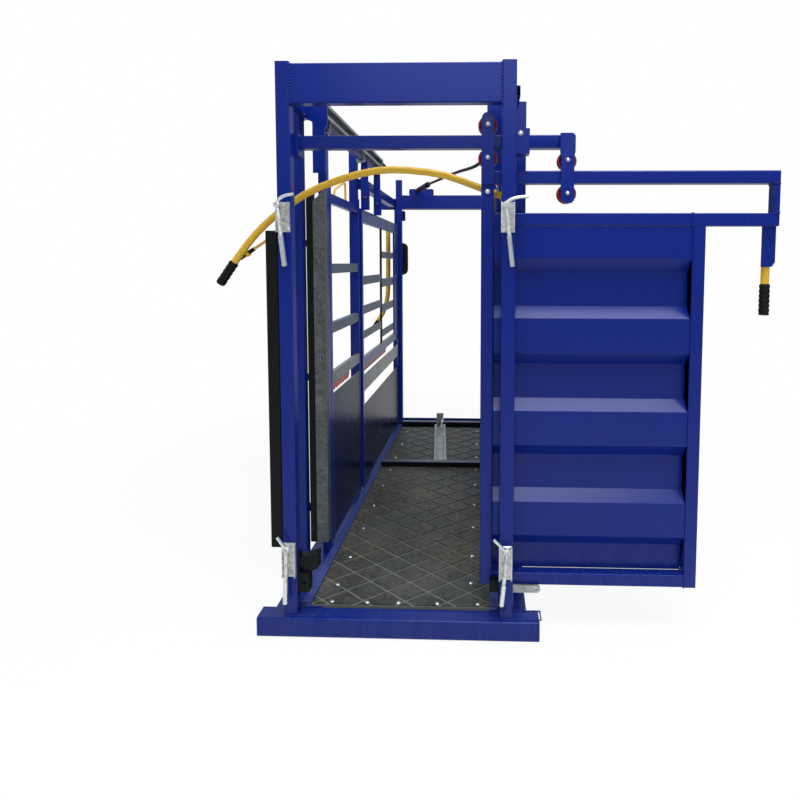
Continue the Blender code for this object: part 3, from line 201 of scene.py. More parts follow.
# Camera: place, lens, shift, and yaw, pitch and roll in degrees
CAMERA_AT = (0.338, -2.149, 1.480)
CAMERA_LENS = 25.5
CAMERA_SHIFT = (-0.0856, -0.1259)
CAMERA_TURN = (1.65, 3.67, 0.16)
# Lamps: place, aim, and width and height
LAMPS = {
    "top": ((0.9, -0.7, 4.6), (0.6, -0.1, 0.0), (2.9, 2.9)),
    "front": ((0.6, -4.4, 3.9), (0.3, 0.4, 1.2), (3.8, 1.6)),
    "side": ((-4.4, 0.2, 2.6), (0.0, 0.8, 1.0), (2.4, 2.8)),
}
FLOOR_LEVEL = -0.0005


# Settings


def colour_of(name, description, default):
    """Colour property, linear."""
    return FloatVectorProperty(
        name=name, description=description, default=default, subtype="COLOR", size=3,
        min=0.0, max=1.0,
    )


def length_of(name, description, default):
    """Length property in metres."""
    return FloatProperty(
        name=name, description=description, default=default, unit="LENGTH", subtype="DISTANCE",
        precision=4, min=0.0,
    )


def strength_of(name, description, default):
    """Power of a lamp or strength of the sky."""
    return FloatProperty(name=name, description=description, default=default, min=0.0)


class CrushColours(bpy.types.PropertyGroup):
    """Colours of the crush's finishes."""

    blue: colour_of("Blue enamel", "Paint of the welded frames", (0.0016, 0.0125, 0.165))
    navy: colour_of("Navy enamel", "Paint of the lower wall sheets", (0.0020, 0.0045, 0.050))
    slat: colour_of("Slat grey", "Weathered paint of the wall slats", (0.060, 0.082, 0.125))
    yellow: colour_of("Yellow enamel", "Paint of the levers and handle", (0.64, 0.38, 0.030))
    deck: colour_of("Trodden blue", "Paint of the deck under the feet", (0.010, 0.024, 0.190))
    red: colour_of("Dark red", "Rollers of the gate", (0.19, 0.009, 0.013))
    rack: colour_of("Bright red", "Toothed racks of the walls", (0.50, 0.008, 0.014))
    galvanised: colour_of("Galvanised steel", "Dipped zinc of rails and bands", (0.36, 0.38, 0.38))
    pale: colour_of("Pale zinc", "Fresh zinc of the latches", (0.66, 0.67, 0.64))
    weathered: colour_of("Weathered zinc", "Dull zinc of the end channels", (0.105, 0.115, 0.115))
    zinc: colour_of("Bright zinc", "Bolts and washers", (0.78, 0.79, 0.80))
    rubber: colour_of("Black rubber", "Buffers, seals, grips and pads", (0.0035, 0.0042, 0.0042))
    mat: colour_of("Mat rubber", "Moulded floor mats", (0.040, 0.040, 0.036))
    mat_dust: colour_of("Mat dust", "Dust that settles in the mat's grooves", (0.150, 0.155, 0.125))


class CrushSizes(bpy.types.PropertyGroup):
    """Sizes of the crush's fittings."""

    weld_radius: length_of("Weld radius", "Half the width of a weld bead", 0.0036)
    weld_pitch: length_of("Weld pitch", "Distance from one ripple of a weld to the next", 0.0042)
    bolt_radius: length_of("Bolt radius", "Radius of a roller bolt's dome", 0.0070)
    washer_radius: length_of("Washer radius", "Radius of a roller bolt's washer", 0.0090)
    mat_bolt_radius: length_of("Mat bolt radius", "Radius of a mat's countersunk bolt", 0.0085)
    tile_width: length_of("Mat tile width", "Distance across the mat's diamonds", 0.1725)
    tile_length: length_of("Mat tile length", "Distance along the mat's diamonds", 0.1405)
    groove: length_of("Mat groove", "Width of the grooves between the diamonds", 0.0125)
    groove_depth: length_of("Groove depth", "Depth of the grooves", 0.0030)
    rib_height: length_of("Grip rib height", "Height of the finger ribs on the grips", 0.0021)
    sheet_bend: length_of("Sheet bend", "Bend radius of the corrugated gate sheet", 0.0045)


class CrushStudio(bpy.types.PropertyGroup):
    """Light and floor."""

    top_power: strength_of("Top lamp", "Power of the wide lamp above", 230.0)
    front_power: strength_of("Front lamp", "Power of the soft front lamp", 46.0)
    side_power: strength_of("Side lamp", "Power of the soft side lamp", 18.0)
    sky_low: strength_of("Horizon", "World strength at the horizon", 0.24)
    sky_high: strength_of("Zenith", "World strength overhead", 0.62)
    floor_size: length_of("Floor size", "Side of the studio floor", 60.0)


# Node trees as expressions


class Value:
    """A socket of a node tree, used as a number in an expression."""

    def __init__(self, sheet, socket):
        self.sheet = sheet
        self.socket = socket

    def __add__(self, other):
        return self.sheet.math("ADD", self, other)

    def __radd__(self, other):
        return self.sheet.math("ADD", other, self)

    def __sub__(self, other):
        return self.sheet.math("SUBTRACT", self, other)

    def __rsub__(self, other):
        return self.sheet.math("SUBTRACT", other, self)

    def __mul__(self, other):
        return self.sheet.math("MULTIPLY", self, other)

    def __truediv__(self, other):
        return self.sheet.math("DIVIDE", self, other)

    def held(self):
        """The value kept between 0 and 1."""
        return self.sheet.add("ShaderNodeClamp", inputs={0: self})


class Sheet:
    """Node tree of one finish or one repeat."""

    def __init__(self, tree):
        self.tree = tree
        tree.nodes.clear()

    def add(self, kind, settings=None, inputs=None, output=0):
        """New node: its settings first, then the values or links of its sockets."""
        node = self.tree.nodes.new(kind)
        for key, value in (settings or {}).items():
            setattr(node, key, value)
        for key, value in (inputs or {}).items():
            if isinstance(value, Value):
                self.tree.links.new(value.socket, node.inputs[key])
            else:
                node.inputs[key].default_value = value
        return Value(self, node.outputs[output]) if len(node.outputs) else None

    def math(self, operation, a, b=0.0):
        """Math node on two values."""
        return self.add("ShaderNodeMath", {"operation": operation}, {0: a, 1: b})

    def vector(self, operation, a, b=(0.0, 0.0, 0.0)):
        """Vector Math node on two vectors; a length comes out as a number."""
        result = 1 if operation in ("LENGTH", "DOT_PRODUCT") else 0
        inputs = {0: a, 1: b}
        return self.add("ShaderNodeVectorMath", {"operation": operation}, inputs, result)

    def mix(self, share, a, b):
        """Colour between two colours."""
        a = a if isinstance(a, Value) else (*a, 1.0)
        b = b if isinstance(b, Value) else (*b, 1.0)
        return self.add("ShaderNodeMix", {"data_type": "RGBA"}, {0: share, 6: a, 7: b}, output=2)

    def noise(self, place, scale, detail=3.0, roughness=0.55):
        """Cloudy noise between 0 and 1 over the object."""
        return self.add(
            "ShaderNodeTexNoise", {},
            {"Vector": place, "Scale": scale, "Detail": detail, "Roughness": roughness},
        )

    def bump(self, height, strength, distance, under=None):
        """Bump node that feeds a shader's normal."""
        inputs = {"Height": height, "Strength": strength, "Distance": distance}
        if under is not None:
            inputs["Normal"] = under
        return self.add("ShaderNodeBump", {}, inputs)


class Finish(Sheet):
    """Material with its own node tree."""

    def __init__(self, name):
        self.material = bpy.data.materials.new(name)
        self.material.use_nodes = True
        super().__init__(self.material.node_tree)
        self.place = self.add("ShaderNodeTexCoord", output=3)

    def height(self):
        """Height above the floor."""
        return self.add("ShaderNodeSeparateXYZ", inputs={0: self.place}, output=2)

    def speckle(self, scale):
        """Random value of each cell of a Voronoi pattern."""
        inputs = {"Vector": self.place, "Scale": scale}
        cell = self.add("ShaderNodeTexVoronoi", {}, inputs, output=1)
        return self.add("ShaderNodeSeparateColor", inputs={0: cell})

    def surface(self, **sockets):
        """Principled shader on the material's output."""
        inputs = {key.replace("_", " "): value for key, value in sockets.items()}
        shader = self.add("ShaderNodeBsdfPrincipled", {}, inputs)
        self.add("ShaderNodeOutputMaterial", {}, {"Surface": shader})
        return self.material


def shade(colour, factor):
    """Colour made lighter or darker."""
    return tuple(min(channel * factor, 1.0) for channel in colour)


# Finishes


def enamel(name, colour, roughness, specular, dust):
    """Sprayed gloss enamel: soft clouds, orange peel, fine dust and a hazy film near the floor."""
    f = Finish(name)
    cloud = f.noise(f.place, 1.6, 4.0, 0.55)
    mottle = f.noise(f.place, 34.0, 4.0, 0.65)
    stretched = f.vector("MULTIPLY", f.place, (26.0, 26.0, 1.8))
    streak = f.noise(stretched, 1.0, 4.0, 0.6)
    tone = (0.5 + (cloud - 0.5) * 0.7 + (mottle - 0.5) * 0.22 + (streak - 0.5) * 0.22).held()
    base = f.mix(tone, shade(colour, 0.82), shade(colour, 1.18))
    grains = f.noise(f.place, 420.0, 2.0, 0.5)
    low = (1.0 - f.height() / 0.40).held()
    film = ((low * 0.32 + 0.035) * (streak * 1.6 - 0.3).held() * dust).held()
    specks = ((grains - 0.68) * 9.0).held() * (dust * 0.35)
    base = f.mix((film + specks).held(), base, (0.10, 0.12, 0.17))
    rough = (roughness + (cloud - 0.5) * 0.08 + (mottle - 0.5) * 0.06 + film * 0.3).held()
    peel = f.noise(f.place, 240.0, 2.0, 0.5)
    wave = f.noise(f.place, 11.0, 2.0, 0.5)
    normal = f.bump(wave, 0.05, 0.004, under=f.bump(peel, 0.10, 0.0005))
    return f.surface(Base_Color=base, Roughness=rough, Normal=normal, Specular_IOR_Level=specular)


def slat_paint(colour):
    """Satin grey-blue film on the wall slats, rubbed along their length."""
    f = Finish("slat_paint")
    along = f.vector("MULTIPLY", f.place, (60.0, 3.0, 60.0))
    rub = f.noise(along, 1.0, 5.0, 0.65)
    cloud = f.noise(f.place, 5.0, 4.0, 0.6)
    base = f.mix((rub * 0.9 + (cloud - 0.5) * 0.8).held(), shade(colour, 0.60), shade(colour, 1.45))
    rough = (0.34 + rub * 0.18).held()
    normal = f.bump(rub, 0.15, 0.0008)
    return f.surface(Base_Color=base, Roughness=rough, Normal=normal, Specular_IOR_Level=0.55)


def dipped_zinc(name, colour, bloom_colour, metallic):
    """Hot-dip zinc: crystal spangle in patches, white bloom and run marks."""
    f = Finish(name)
    fine = f.speckle(150.0)
    coarse = f.speckle(62.0)
    cloud = f.noise(f.place, 7.0, 5.0, 0.65)
    stretched = f.vector("MULTIPLY", f.place, (40.0, 40.0, 4.0))
    runs = f.noise(stretched, 1.0, 4.0, 0.6)
    tone = (fine * 0.42 + coarse * 0.42 + (cloud - 0.5) * 1.1 + 0.10).held()
    base = f.mix(tone, shade(colour, 0.42), shade(colour, 1.25))
    bloom = ((cloud - 0.55) * 3.0).held() * (runs * 1.2).held()
    base = f.mix(bloom * 0.45, base, bloom_colour)
    rough = (0.34 + fine * 0.14 + coarse * 0.08 + bloom * 0.22).held()
    metal = (metallic - bloom * 0.45).held()
    normal = f.bump(coarse, 0.06, 0.0006, f.bump(runs, 0.2, 0.0008))
    return f.surface(Base_Color=base, Roughness=rough, Metallic=metal, Normal=normal)


def bright_zinc(colour):
    """Plated fastener steel with turning marks and a little tarnish."""
    f = Finish("bright_zinc")
    tarnish = f.noise(f.place, 120.0, 4.0, 0.6)
    base = f.mix((tarnish * 1.6 - 0.3).held(), shade(colour, 0.72), colour)
    rough = (0.20 + tarnish * 0.22).held()
    normal = f.bump(tarnish, 0.10, 0.0003)
    return f.surface(Base_Color=base, Roughness=rough, Metallic=1.0, Normal=normal)


def black_rubber(colour):
    """Moulded rubber with a fine grain, scuffs and a grey bloom."""
    f = Finish("black_rubber")
    grain = f.noise(f.place, 520.0, 3.0, 0.6)
    scuff = f.noise(f.vector("MULTIPLY", f.place, (30.0, 30.0, 9.0)), 1.0, 5.0, 0.7)
    bloom = ((scuff - 0.52) * 3.2).held()
    base = f.mix(bloom * 0.40, colour, (0.018, 0.020, 0.020))
    rough = (0.46 + bloom * 0.22 + (grain - 0.5) * 0.15).held()
    normal = f.bump(grain, 0.22, 0.0005)
    return f.surface(Base_Color=base, Roughness=rough, Normal=normal, Specular_IOR_Level=0.12)


def mat_rubber(colour, dust, top):
    """Floor mat: grained diamonds, paler dusty grooves and trodden patches."""
    f = Finish("mat_rubber")
    grain = f.noise(f.place, 330.0, 4.0, 0.65)
    patch = f.noise(f.place, 4.2, 5.0, 0.65)
    flecks = f.speckle(260.0)
    depth = ((top - 0.0006 - f.height()) * 900.0).held()
    warm = f.noise(f.place, 1.3, 2.0, 0.5)
    scuff = f.noise(f.place, 46.0, 4.0, 0.7)
    tone = 0.5 + (patch - 0.5) * 2.0 + (scuff - 0.5) * 2.2 + (grain - 0.5) * 1.2
    tone = (tone + (flecks - 0.5) * 0.5).held()
    cool = f.mix(tone, shade(colour, 0.34), shade(colour, 1.75))
    brown = f.mix(tone, shade(colour, 0.40), (0.112, 0.094, 0.072))
    base = f.mix(((warm - 0.46) * 6.0).held(), cool, brown)
    wear = (0.55 + patch * 0.6 + (grain - 0.5) * 0.6).held()
    base = f.mix(depth * wear, base, dust)
    rough = (0.46 + (patch - 0.5) * 0.25 + depth * 0.2).held()
    crinkle = f.noise(f.place, 95.0, 4.0, 0.6)
    normal = f.bump(grain, 0.5, 0.0011, f.bump(crinkle, 0.40, 0.0018))
    return f.surface(Base_Color=base, Roughness=rough, Normal=normal, Specular_IOR_Level=0.30)


def studio_floor():
    """Pale floor that stays near white to the camera and keeps a soft shadow."""
    f = Finish("studio_floor")
    grain = f.noise(f.place, 6.0, 4.0, 0.6)
    base = f.mix(grain, (0.80, 0.80, 0.80), (0.83, 0.83, 0.83))
    lit = f.add("ShaderNodeBsdfDiffuse", {}, {"Color": base})
    glow = f.add("ShaderNodeEmission", {}, {"Color": (1.0, 1.0, 1.0, 1.0), "Strength": 1.0})
    distance = f.vector("LENGTH", f.vector("SUBTRACT", f.place, (0.1, 1.2, 0.0)))
    far = ((distance - 1.6) / 2.2).held()
    path = f.add("ShaderNodeLightPath").socket.node.outputs
    bounced = (Value(f, path["Is Glossy Ray"]) + Value(f, path["Is Transmission Ray"])).held()
    share = (Value(f, path["Is Camera Ray"]) * (far * 0.12 + 0.88) + bounced * 0.3).held()
    shader = f.add("ShaderNodeMixShader", {}, {0: share, 1: lit, 2: glow})
    f.add("ShaderNodeOutputMaterial", {}, {"Surface": shader})
    return f.material


# Materials and node trees made so far
made = {}


def finish(name):
    """Material of a finish, made on first use."""
    if name in made:
        return made[name]
    colours = bpy.context.scene.crush_colours
    colour = tuple(getattr(colours, name))
    if name in ENAMELS:
        label, *values = ENAMELS[name]
        material = enamel(label, colour, *values)
    elif name in ZINCS:
        label, *values = ZINCS[name]
        material = dipped_zinc(label, colour, *values)
    elif name == "mat":
        material = mat_rubber(colour, tuple(colours.mat_dust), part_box("floor_mat_rear")[1].z)
    else:
        material = {"slat": slat_paint, "zinc": bright_zinc, "rubber": black_rubber}[name](colour)
    made[name] = material
    return material


# Pieces


def new_mesh(points, edges=(), faces=(), name="shape"):
    """Mesh from points, edges and faces."""
    mesh = bpy.data.meshes.new(name)
    mesh.from_pydata([tuple(p) for p in points], list(edges), list(faces))
    return mesh


def tree(key, build, *values):
    """Node tree of a repeat, made on first use."""
    if key not in made:
        made[key] = build(*values)
    return made[key]


def middle(node):
    """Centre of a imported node's box."""
    low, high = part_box(node)
    return (low + high) / 2


def mesh_from(bm, mesh=None):
    """Write a bmesh into a mesh, a new one if none is given, and free it."""
    mesh = mesh or bpy.data.meshes.new("shape")
    bm.to_mesh(mesh)
    bm.free()
    return mesh


def mesh_of(obj):
    """Plain mesh of an object with its modifiers applied; the object goes."""
    bpy.context.view_layer.update()
    graph = bpy.context.evaluated_depsgraph_get()
    mesh = bpy.data.meshes.new_from_object(obj.evaluated_get(graph), depsgraph=graph)
    bpy.data.objects.remove(obj)
    return mesh


def place(name, mesh, kind, body, stands_for=(), sharp=35.0, weighted=True):
    """Add a finished piece: its finish, shading, body and the nodes it stands for."""
    mesh.name = name
    if not mesh.materials:
        mesh.materials.append(finish(kind))
    mesh.shade_smooth()
    mesh.set_sharp_from_angle(angle=radians(sharp))
    obj = bpy.data.objects.new(name, mesh)
    bpy.context.scene.collection.objects.link(obj)
    if weighted:
        normals = obj.modifiers.new("flat_faces", "WEIGHTED_NORMAL")
        normals.keep_sharp = True
        normals.weight = 60
    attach(obj, body)
    if stands_for:
        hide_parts(*stands_for)
    return obj


def stand_in(node, mesh, kind):
    """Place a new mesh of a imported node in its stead."""
    return place(f"{node}_finished", mesh, kind, BODY[node], (node,), weighted=False)


def rounded(obj, name, width, angle):
    """Round the edges of a piece that bend more than an angle in degrees."""
    bevel = obj.modifiers.new(name, "BEVEL")
    bevel.width = width
    bevel.segments = 4
    bevel.limit_method = "ANGLE"
    bevel.angle_limit = radians(angle)


def merged(node):
    """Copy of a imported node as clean, joined faces."""
    bm = bmesh.new()
    bm.from_mesh(frame["nodes"][node].data)
    bmesh.ops.remove_doubles(bm, verts=bm.verts, dist=0.00001)
    bmesh.ops.dissolve_limit(
        bm, angle_limit=radians(0.6), verts=bm.verts, edges=bm.edges, use_dissolve_boundaries=False,
    )
    return mesh_from(bm)


def dress(node, kind, zones=(), sharp=35.0):
    """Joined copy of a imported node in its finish; zones give parts of it another finish."""
    mesh = merged(node)
    mesh.materials.clear()
    kinds = [kind, *dict.fromkeys(zone[0] for zone in zones)]
    for each in kinds:
        mesh.materials.append(finish(each))
    for face in mesh.polygons:
        face.material_index = 0
        for each, low, high in zones:
            if all(low[i] <= face.center[i] <= high[i] for i in range(3)):
                face.material_index = kinds.index(each)
    return place(f"{node}_finished", mesh, kind, BODY[node], (node,), sharp)


def paint(node, kind):
    """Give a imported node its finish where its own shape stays."""
    obj = frame["nodes"][node]
    obj.data.materials.clear()
    obj.data.materials.append(finish(kind))


def zones_on(side, table):
    """Zones of one side's piece, from a table with X as distances from the centre line."""
    zones = []
    for kind, x, y, z in table:
        low, high = sorted((side * x[0], side * x[1]))
        zones.append((kind, (low, y[0], z[0]), (high, y[1], z[1])))
    return zones


def smooth_line(points, steps=4):
    """Points along a smooth curve that runs through the given points."""
    points = [Vector(p) for p in points]
    padded = [2 * points[0] - points[1], *points, 2 * points[-1] - points[-2]]
    line = []
    for a, b, c, d in zip(padded, padded[1:], padded[2:], padded[3:]):
        for step in range(steps):
            t = step / steps
            curve = 2 * b + (c - a) * t + (2 * a - 5 * b + 4 * c - d) * t * t
            line.append(0.5 * (curve + (3 * b - a - 3 * c + d) * t * t * t))
    line.append(points[-1])
    return line


def spun(profile, centre, kind, steps):
    """Profile of (radius, height) pairs turned about an axis along Y, in its finish."""
    bm = bmesh.new()
    points = [(radius, 0.0, height) for radius, height in profile]
    verts = [bm.verts.new(p) for p in points]
    edges = [bm.edges.new(pair) for pair in zip(verts, verts[1:] + verts[:1])]
    bmesh.ops.spin(
        bm, geom=verts + edges, cent=(0, 0, 0), axis=(0, 0, 1), angle=2 * pi, steps=steps,
        use_merge=True,
    )
    bmesh.ops.remove_doubles(bm, verts=bm.verts, dist=0.00002)
    turn = Matrix.Rotation(-pi / 2, 4, "X")
    bmesh.ops.transform(bm, matrix=Matrix.Translation(centre) @ turn, verts=bm.verts)
    bmesh.ops.recalc_face_normals(bm, faces=bm.faces)
    mesh = mesh_from(bm)
    mesh.materials.append(finish(kind))
    return mesh


# Repeats made by node trees


class Repeat(Sheet):
    """Geometry node tree with named lengths and counts as inputs."""

    def __init__(self, name, lengths, counts=()):
        super().__init__(bpy.data.node_groups.new(name, "GeometryNodeTree"))
        sockets = self.tree.interface
        sockets.new_socket("Geometry", in_out="INPUT", socket_type="NodeSocketGeometry")
        for labels, kind in ((lengths, "NodeSocketFloat"), (counts, "NodeSocketInt")):
            for label in labels:
                sockets.new_socket(label, in_out="INPUT", socket_type=kind)
        sockets.new_socket("Geometry", in_out="OUTPUT", socket_type="NodeSocketGeometry")
        self.entry = self.tree.nodes.new("NodeGroupInput")

    def given(self, label):
        """Named input of the tree."""
        return Value(self, self.entry.outputs[label])

    def line(self, step):
        """The mesh's edges as curves, with points at even steps."""
        curve = self.add("GeometryNodeMeshToCurve", {}, {0: self.given("Geometry")})
        inputs = {"Curve": curve, "Length": self.given(step)}
        return self.add("GeometryNodeResampleCurve", {"mode": "LENGTH"}, inputs)

    def at_points(self, shape, **inputs):
        """The shape at every point of the mesh."""
        spots = self.add("GeometryNodeMeshToPoints", {}, {0: self.given("Geometry")})
        inputs = {"Points": spots, "Instance": shape, **inputs}
        return self.add("GeometryNodeInstanceOnPoints", {}, inputs)

    def finish(self, geometry, kind):
        """Realise the instances, set the material and end the tree."""
        real = self.add("GeometryNodeRealizeInstances", {}, {0: geometry})
        smooth = self.add("GeometryNodeSetShadeSmooth", {}, {0: real})
        inputs = {"Geometry": smooth, "Material": finish(kind)}
        dressed = self.add("GeometryNodeSetMaterial", {}, inputs)
        self.add("NodeGroupOutput", {}, {0: dressed})
        return self.tree


def repeated(group, mesh, values):
    """Run a node tree on a mesh and return the plain result."""
    obj = bpy.data.objects.new(group.name, mesh)
    bpy.context.scene.collection.objects.link(obj)
    modifier = obj.modifiers.new("repeat", "NODES")
    modifier.node_group = group
    for item in group.interface.items_tree:
        if item.in_out == "INPUT" and item.name in values:
            modifier[item.identifier] = values[item.name]
    return mesh_of(obj)


def weld_tree():
    """Ripples of weld bead along every edge of a mesh."""
    t = Repeat("weld_beads", ("Radius", "Pitch"), ("Seed",))
    line = t.line("Pitch")
    bead = t.add("GeometryNodeMeshIcoSphere", {}, {"Radius": t.given("Radius"), "Subdivisions": 1})
    tangent = t.add("GeometryNodeInputTangent")
    turn = t.add("FunctionNodeAlignRotationToVector", {"axis": "Z"}, {"Vector": tangent})
    spread = {2: 0.82, 3: 1.16, "Seed": t.given("Seed")}
    size = t.add("FunctionNodeRandomValue", {"data_type": "FLOAT"}, spread, output=1)
    inputs = {"Points": line, "Instance": bead, "Rotation": turn, "Scale": size}
    beads = t.add("GeometryNodeInstanceOnPoints", {}, inputs)
    return t.finish(beads, "blue")


def bolt_tree():
    """Domed bolt on a washer at every point, along the point's facing attribute."""
    t = Repeat("bolts", ("Radius", "Washer", "Height"))
    radius, washer, height = t.given("Radius"), t.given("Washer"), t.given("Height")
    dome = t.add("GeometryNodeMeshUVSphere", {}, {"Segments": 16, "Rings": 8, "Radius": 1.0})
    size = t.add("ShaderNodeCombineXYZ", {}, {0: radius, 1: radius, 2: height})
    lift = t.add("ShaderNodeCombineXYZ", {}, {2: 0.0012})
    inputs = {"Geometry": dome, "Translation": lift, "Scale": size}
    dome = t.add("GeometryNodeTransform", {}, inputs)
    shape = {"Vertices": 20, "Radius": washer, "Depth": 0.0024}
    plate = t.add("GeometryNodeMeshCylinder", {}, shape)
    pair = t.add("GeometryNodeJoinGeometry", {}, {0: dome})
    t.tree.links.new(plate.socket, pair.socket.node.inputs[0])
    vector = {"data_type": "FLOAT_VECTOR"}
    facing = t.add("GeometryNodeInputNamedAttribute", vector, {"Name": "facing"})
    turn = t.add("FunctionNodeAlignRotationToVector", {"axis": "Z"}, {"Vector": facing})
    return t.finish(t.at_points(pair, Rotation=turn), "zinc")


def diamond_tree():
    """Moulded diamonds at every point of a mat."""
    t = Repeat("mat_diamonds", ("Width", "Length", "Height"))
    shape = {"Vertices": 4, "Radius Top": 0.480, "Radius Bottom": 0.5, "Depth": 1.0}
    tile = t.add("GeometryNodeMeshCone", {}, shape)
    sides = {0: t.given("Width"), 1: t.given("Length"), 2: t.given("Height")}
    size = t.add("ShaderNodeCombineXYZ", {}, sides)
    return t.finish(t.at_points(tile, Scale=size), "mat")


def sleeve_tree(kind):
    """Round bar or ribbed sleeve along a line, with rounded ribs and closed ends."""
    t = Repeat(f"sleeve_{kind}", ("Radius", "Rib", "Rib pitch", "Step"), ("Sides",))
    line = t.line("Step")
    along = t.add("GeometryNodeSplineParameter", output=1)
    whole = t.add("GeometryNodeSplineLength")
    swing = t.math("COSINE", along * 6.2832 / t.given("Rib pitch"))
    ends = t.math("MINIMUM", along, whole - along)
    inset = t.math("MINIMUM", ends / 0.004 + 0.72, 1.0)
    radius = (t.given("Radius") + t.given("Rib") * (0.5 + swing * 0.5)) * inset
    inputs = {"Resolution": t.given("Sides"), "Radius": 1.0}
    outline = t.add("GeometryNodeCurvePrimitiveCircle", {}, inputs)
    inputs = {"Curve": line, "Profile Curve": outline, "Scale": radius, "Fill Caps": True}
    tube = t.add("GeometryNodeCurveToMesh", {}, inputs)
    return t.finish(tube, kind)


def sleeve(points, kind, radius, rib=0.0, pitch=0.02, step=0.004, sides=32):
    """Ribbed or plain round bar along a line, as a plain mesh."""
    values = {"Radius": radius, "Rib": rib, "Rib pitch": pitch, "Step": step, "Sides": sides}
    line = new_mesh(points, [(i, i + 1) for i in range(len(points) - 1)])
    mesh = repeated(tree(f"sleeve_{kind}", sleeve_tree, kind), line, values)
    bm = bmesh.new()
    bm.from_mesh(mesh)
    bmesh.ops.remove_doubles(bm, verts=bm.verts, dist=0.00002)
    bmesh.ops.recalc_face_normals(bm, faces=bm.faces)
    return mesh_from(bm, mesh)


def together(meshes):
    """One mesh out of several, with all their finishes."""
    bm = bmesh.new()
    finishes = []
    for mesh in meshes:
        first = len(bm.faces)
        bm.from_mesh(mesh)
        bm.faces.ensure_lookup_table()
        finishes += [each for each in mesh.materials if each not in finishes]
        for face in bm.faces[first:]:
            face.material_index = finishes.index(mesh.materials[face.material_index])
    joined = mesh_from(bm)
    for each in finishes:
        joined.materials.append(each)
    return joined


def ring(low, high, along, at):
    """Corners of a tube's outline at one place along it."""
    first, second = [i for i in range(3) if "XYZ"[i] != along]
    corners = []
    for u, v in ((0, 0), (1, 0), (1, 1), (0, 1)):
        point = Vector((at, at, at))
        point[first] = (low, high)[u][first]
        point[second] = (low, high)[v][second]
        corners.append(point)
    return corners


def weld(name, body, rings, size=1.0, spread=1.0):
    """Weld beads round outlines, as one piece; size and spread enlarge the beads and pitch."""
    points, edges = [], []
    for corners in rings:
        first = len(points)
        points += corners
        edges += [(first + i, first + (i + 1) % len(corners)) for i in range(len(corners))]
    sizes = bpy.context.scene.crush_sizes
    values = {"Radius": sizes.weld_radius * size, "Pitch": sizes.weld_pitch * spread, "Seed": 7}
    mesh = repeated(tree("welds", weld_tree), new_mesh(points, edges), values)
    return place(name, mesh, "blue", body, sharp=80.0, weighted=False)


def bolts(name, body, spots, radius, washer, height=0.0052):
    """Domed bolts with washers at points, each with the direction it faces."""
    mesh = new_mesh([point for point, _ in spots])
    facing = mesh.attributes.new("facing", "FLOAT_VECTOR", "POINT")
    for item, (_, direction) in zip(facing.data, spots):
        item.vector = direction
    values = {"Radius": radius, "Washer": washer, "Height": height}
    result = repeated(tree("bolts", bolt_tree), mesh, values)
    return place(name, result, "zinc", body, weighted=False)


class CRUSH_OT_portal(bpy.types.Operator):
    """Sill, posts, header, buffer and rail of the rear portal, with their welds and bolts"""

    bl_idname = "crush.portal"
    bl_label = "Rear portal"

    def execute(self, context):
        sizes = context.scene.crush_sizes
        for node in ("rear_sill", "rear_header", "gate_rail", "guide_roller_plate"):
            dress(node, "blue")
        for name, side in SIDES:
            dress(f"rear_post_{name}", "blue", zones_on(side, POST_ZONES[name]))
        dress("gate_buffer", "rubber")
        low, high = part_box("rear_header")
        ends = [ring(low, high, "X", low.x), ring(low, high, "X", high.x)]
        weld("header_welds", "frame", ends, size=1.30, spread=2.6)
        posts = [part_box(f"rear_post_{name}") for name, _ in SIDES]
        weld("portal_welds", "frame", [ring(low, high, "Z", low.z) for low, high in posts])
        spots = []
        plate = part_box("guide_roller_plate")[0].y
        for level in ("upper", "lower"):
            axle = middle(f"guide_roller_{level}")
            spots.append(((axle.x, plate + GUIDE_BOLT_DEPTH, axle.z), (0, -1, 0)))
        spots.append((PORTAL_BOLT, (0, -1, 0)))
        bolts("portal_bolts", "frame", spots, sizes.bolt_radius, sizes.washer_radius)
        return {"FINISHED"}


class CRUSH_OT_gate(bpy.types.Operator):
    """Sliding gate: welded frame, corrugated sheet, handle and hanger bolts"""

    bl_idname = "crush.gate"
    bl_label = "Sliding gate"

    def execute(self, context):
        sizes = context.scene.crush_sizes
        dress("gate_frame", "blue")
        sheet = stand_in("gate_sheet", merged("gate_sheet"), "blue")
        rounded(sheet, "bends", sizes.sheet_bend, angle=12)
        sheet.modifiers.new("flat_faces", "WEIGHTED_NORMAL").keep_sharp = True
        dress("gate_handle_arm", "blue")
        dress("gate_handle", "yellow")
        low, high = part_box("gate_handle_grip")
        centre = middle("gate_handle_grip")
        length = high.z - low.z
        line = [(centre.x, centre.y, low.z + length * i / 24) for i in range(25)]
        pitch = length / GRIP_RIBS
        grip = sleeve(line, "rubber", GRIP_RADIUS, sizes.rib_height, pitch, 0.0012)
        stand_in("gate_handle_grip", grip, "rubber")
        spots = []
        for level in ("upper", "lower"):
            axle = middle(f"hanger_roller_{level}")
            spots.append(((axle.x, HANGER_FACE_Y, axle.z), (0, -1, 0)))
        spots.append(((axle.x, *HANGER_BOLT), (0, -1, 0)))
        bolts("gate_bolts", "gate", spots, sizes.bolt_radius, sizes.washer_radius)
        weld("gate_welds", "gate", self.seams())
        return {"FINISHED"}

    def seams(self):
        """Outlines of the gate's tube joints."""
        y0, y1 = GATE_TUBE_Y
        x0, x1 = HANDLE_DROP_X
        joints = [(x, z) for x in GATE_JOINT_X for z in GATE_RAIL_Z]
        joints.append((GATE_JOINT_X[0], HANDLE_ARM_Z[1]))
        loops = [ring((0, y0, z), (0, y1, z + TUBE), "X", x) for x, z in joints]
        return loops + [ring((x0, y0, 0), (x1, y1, 0), "Z", z) for z in HANDLE_ARM_Z]


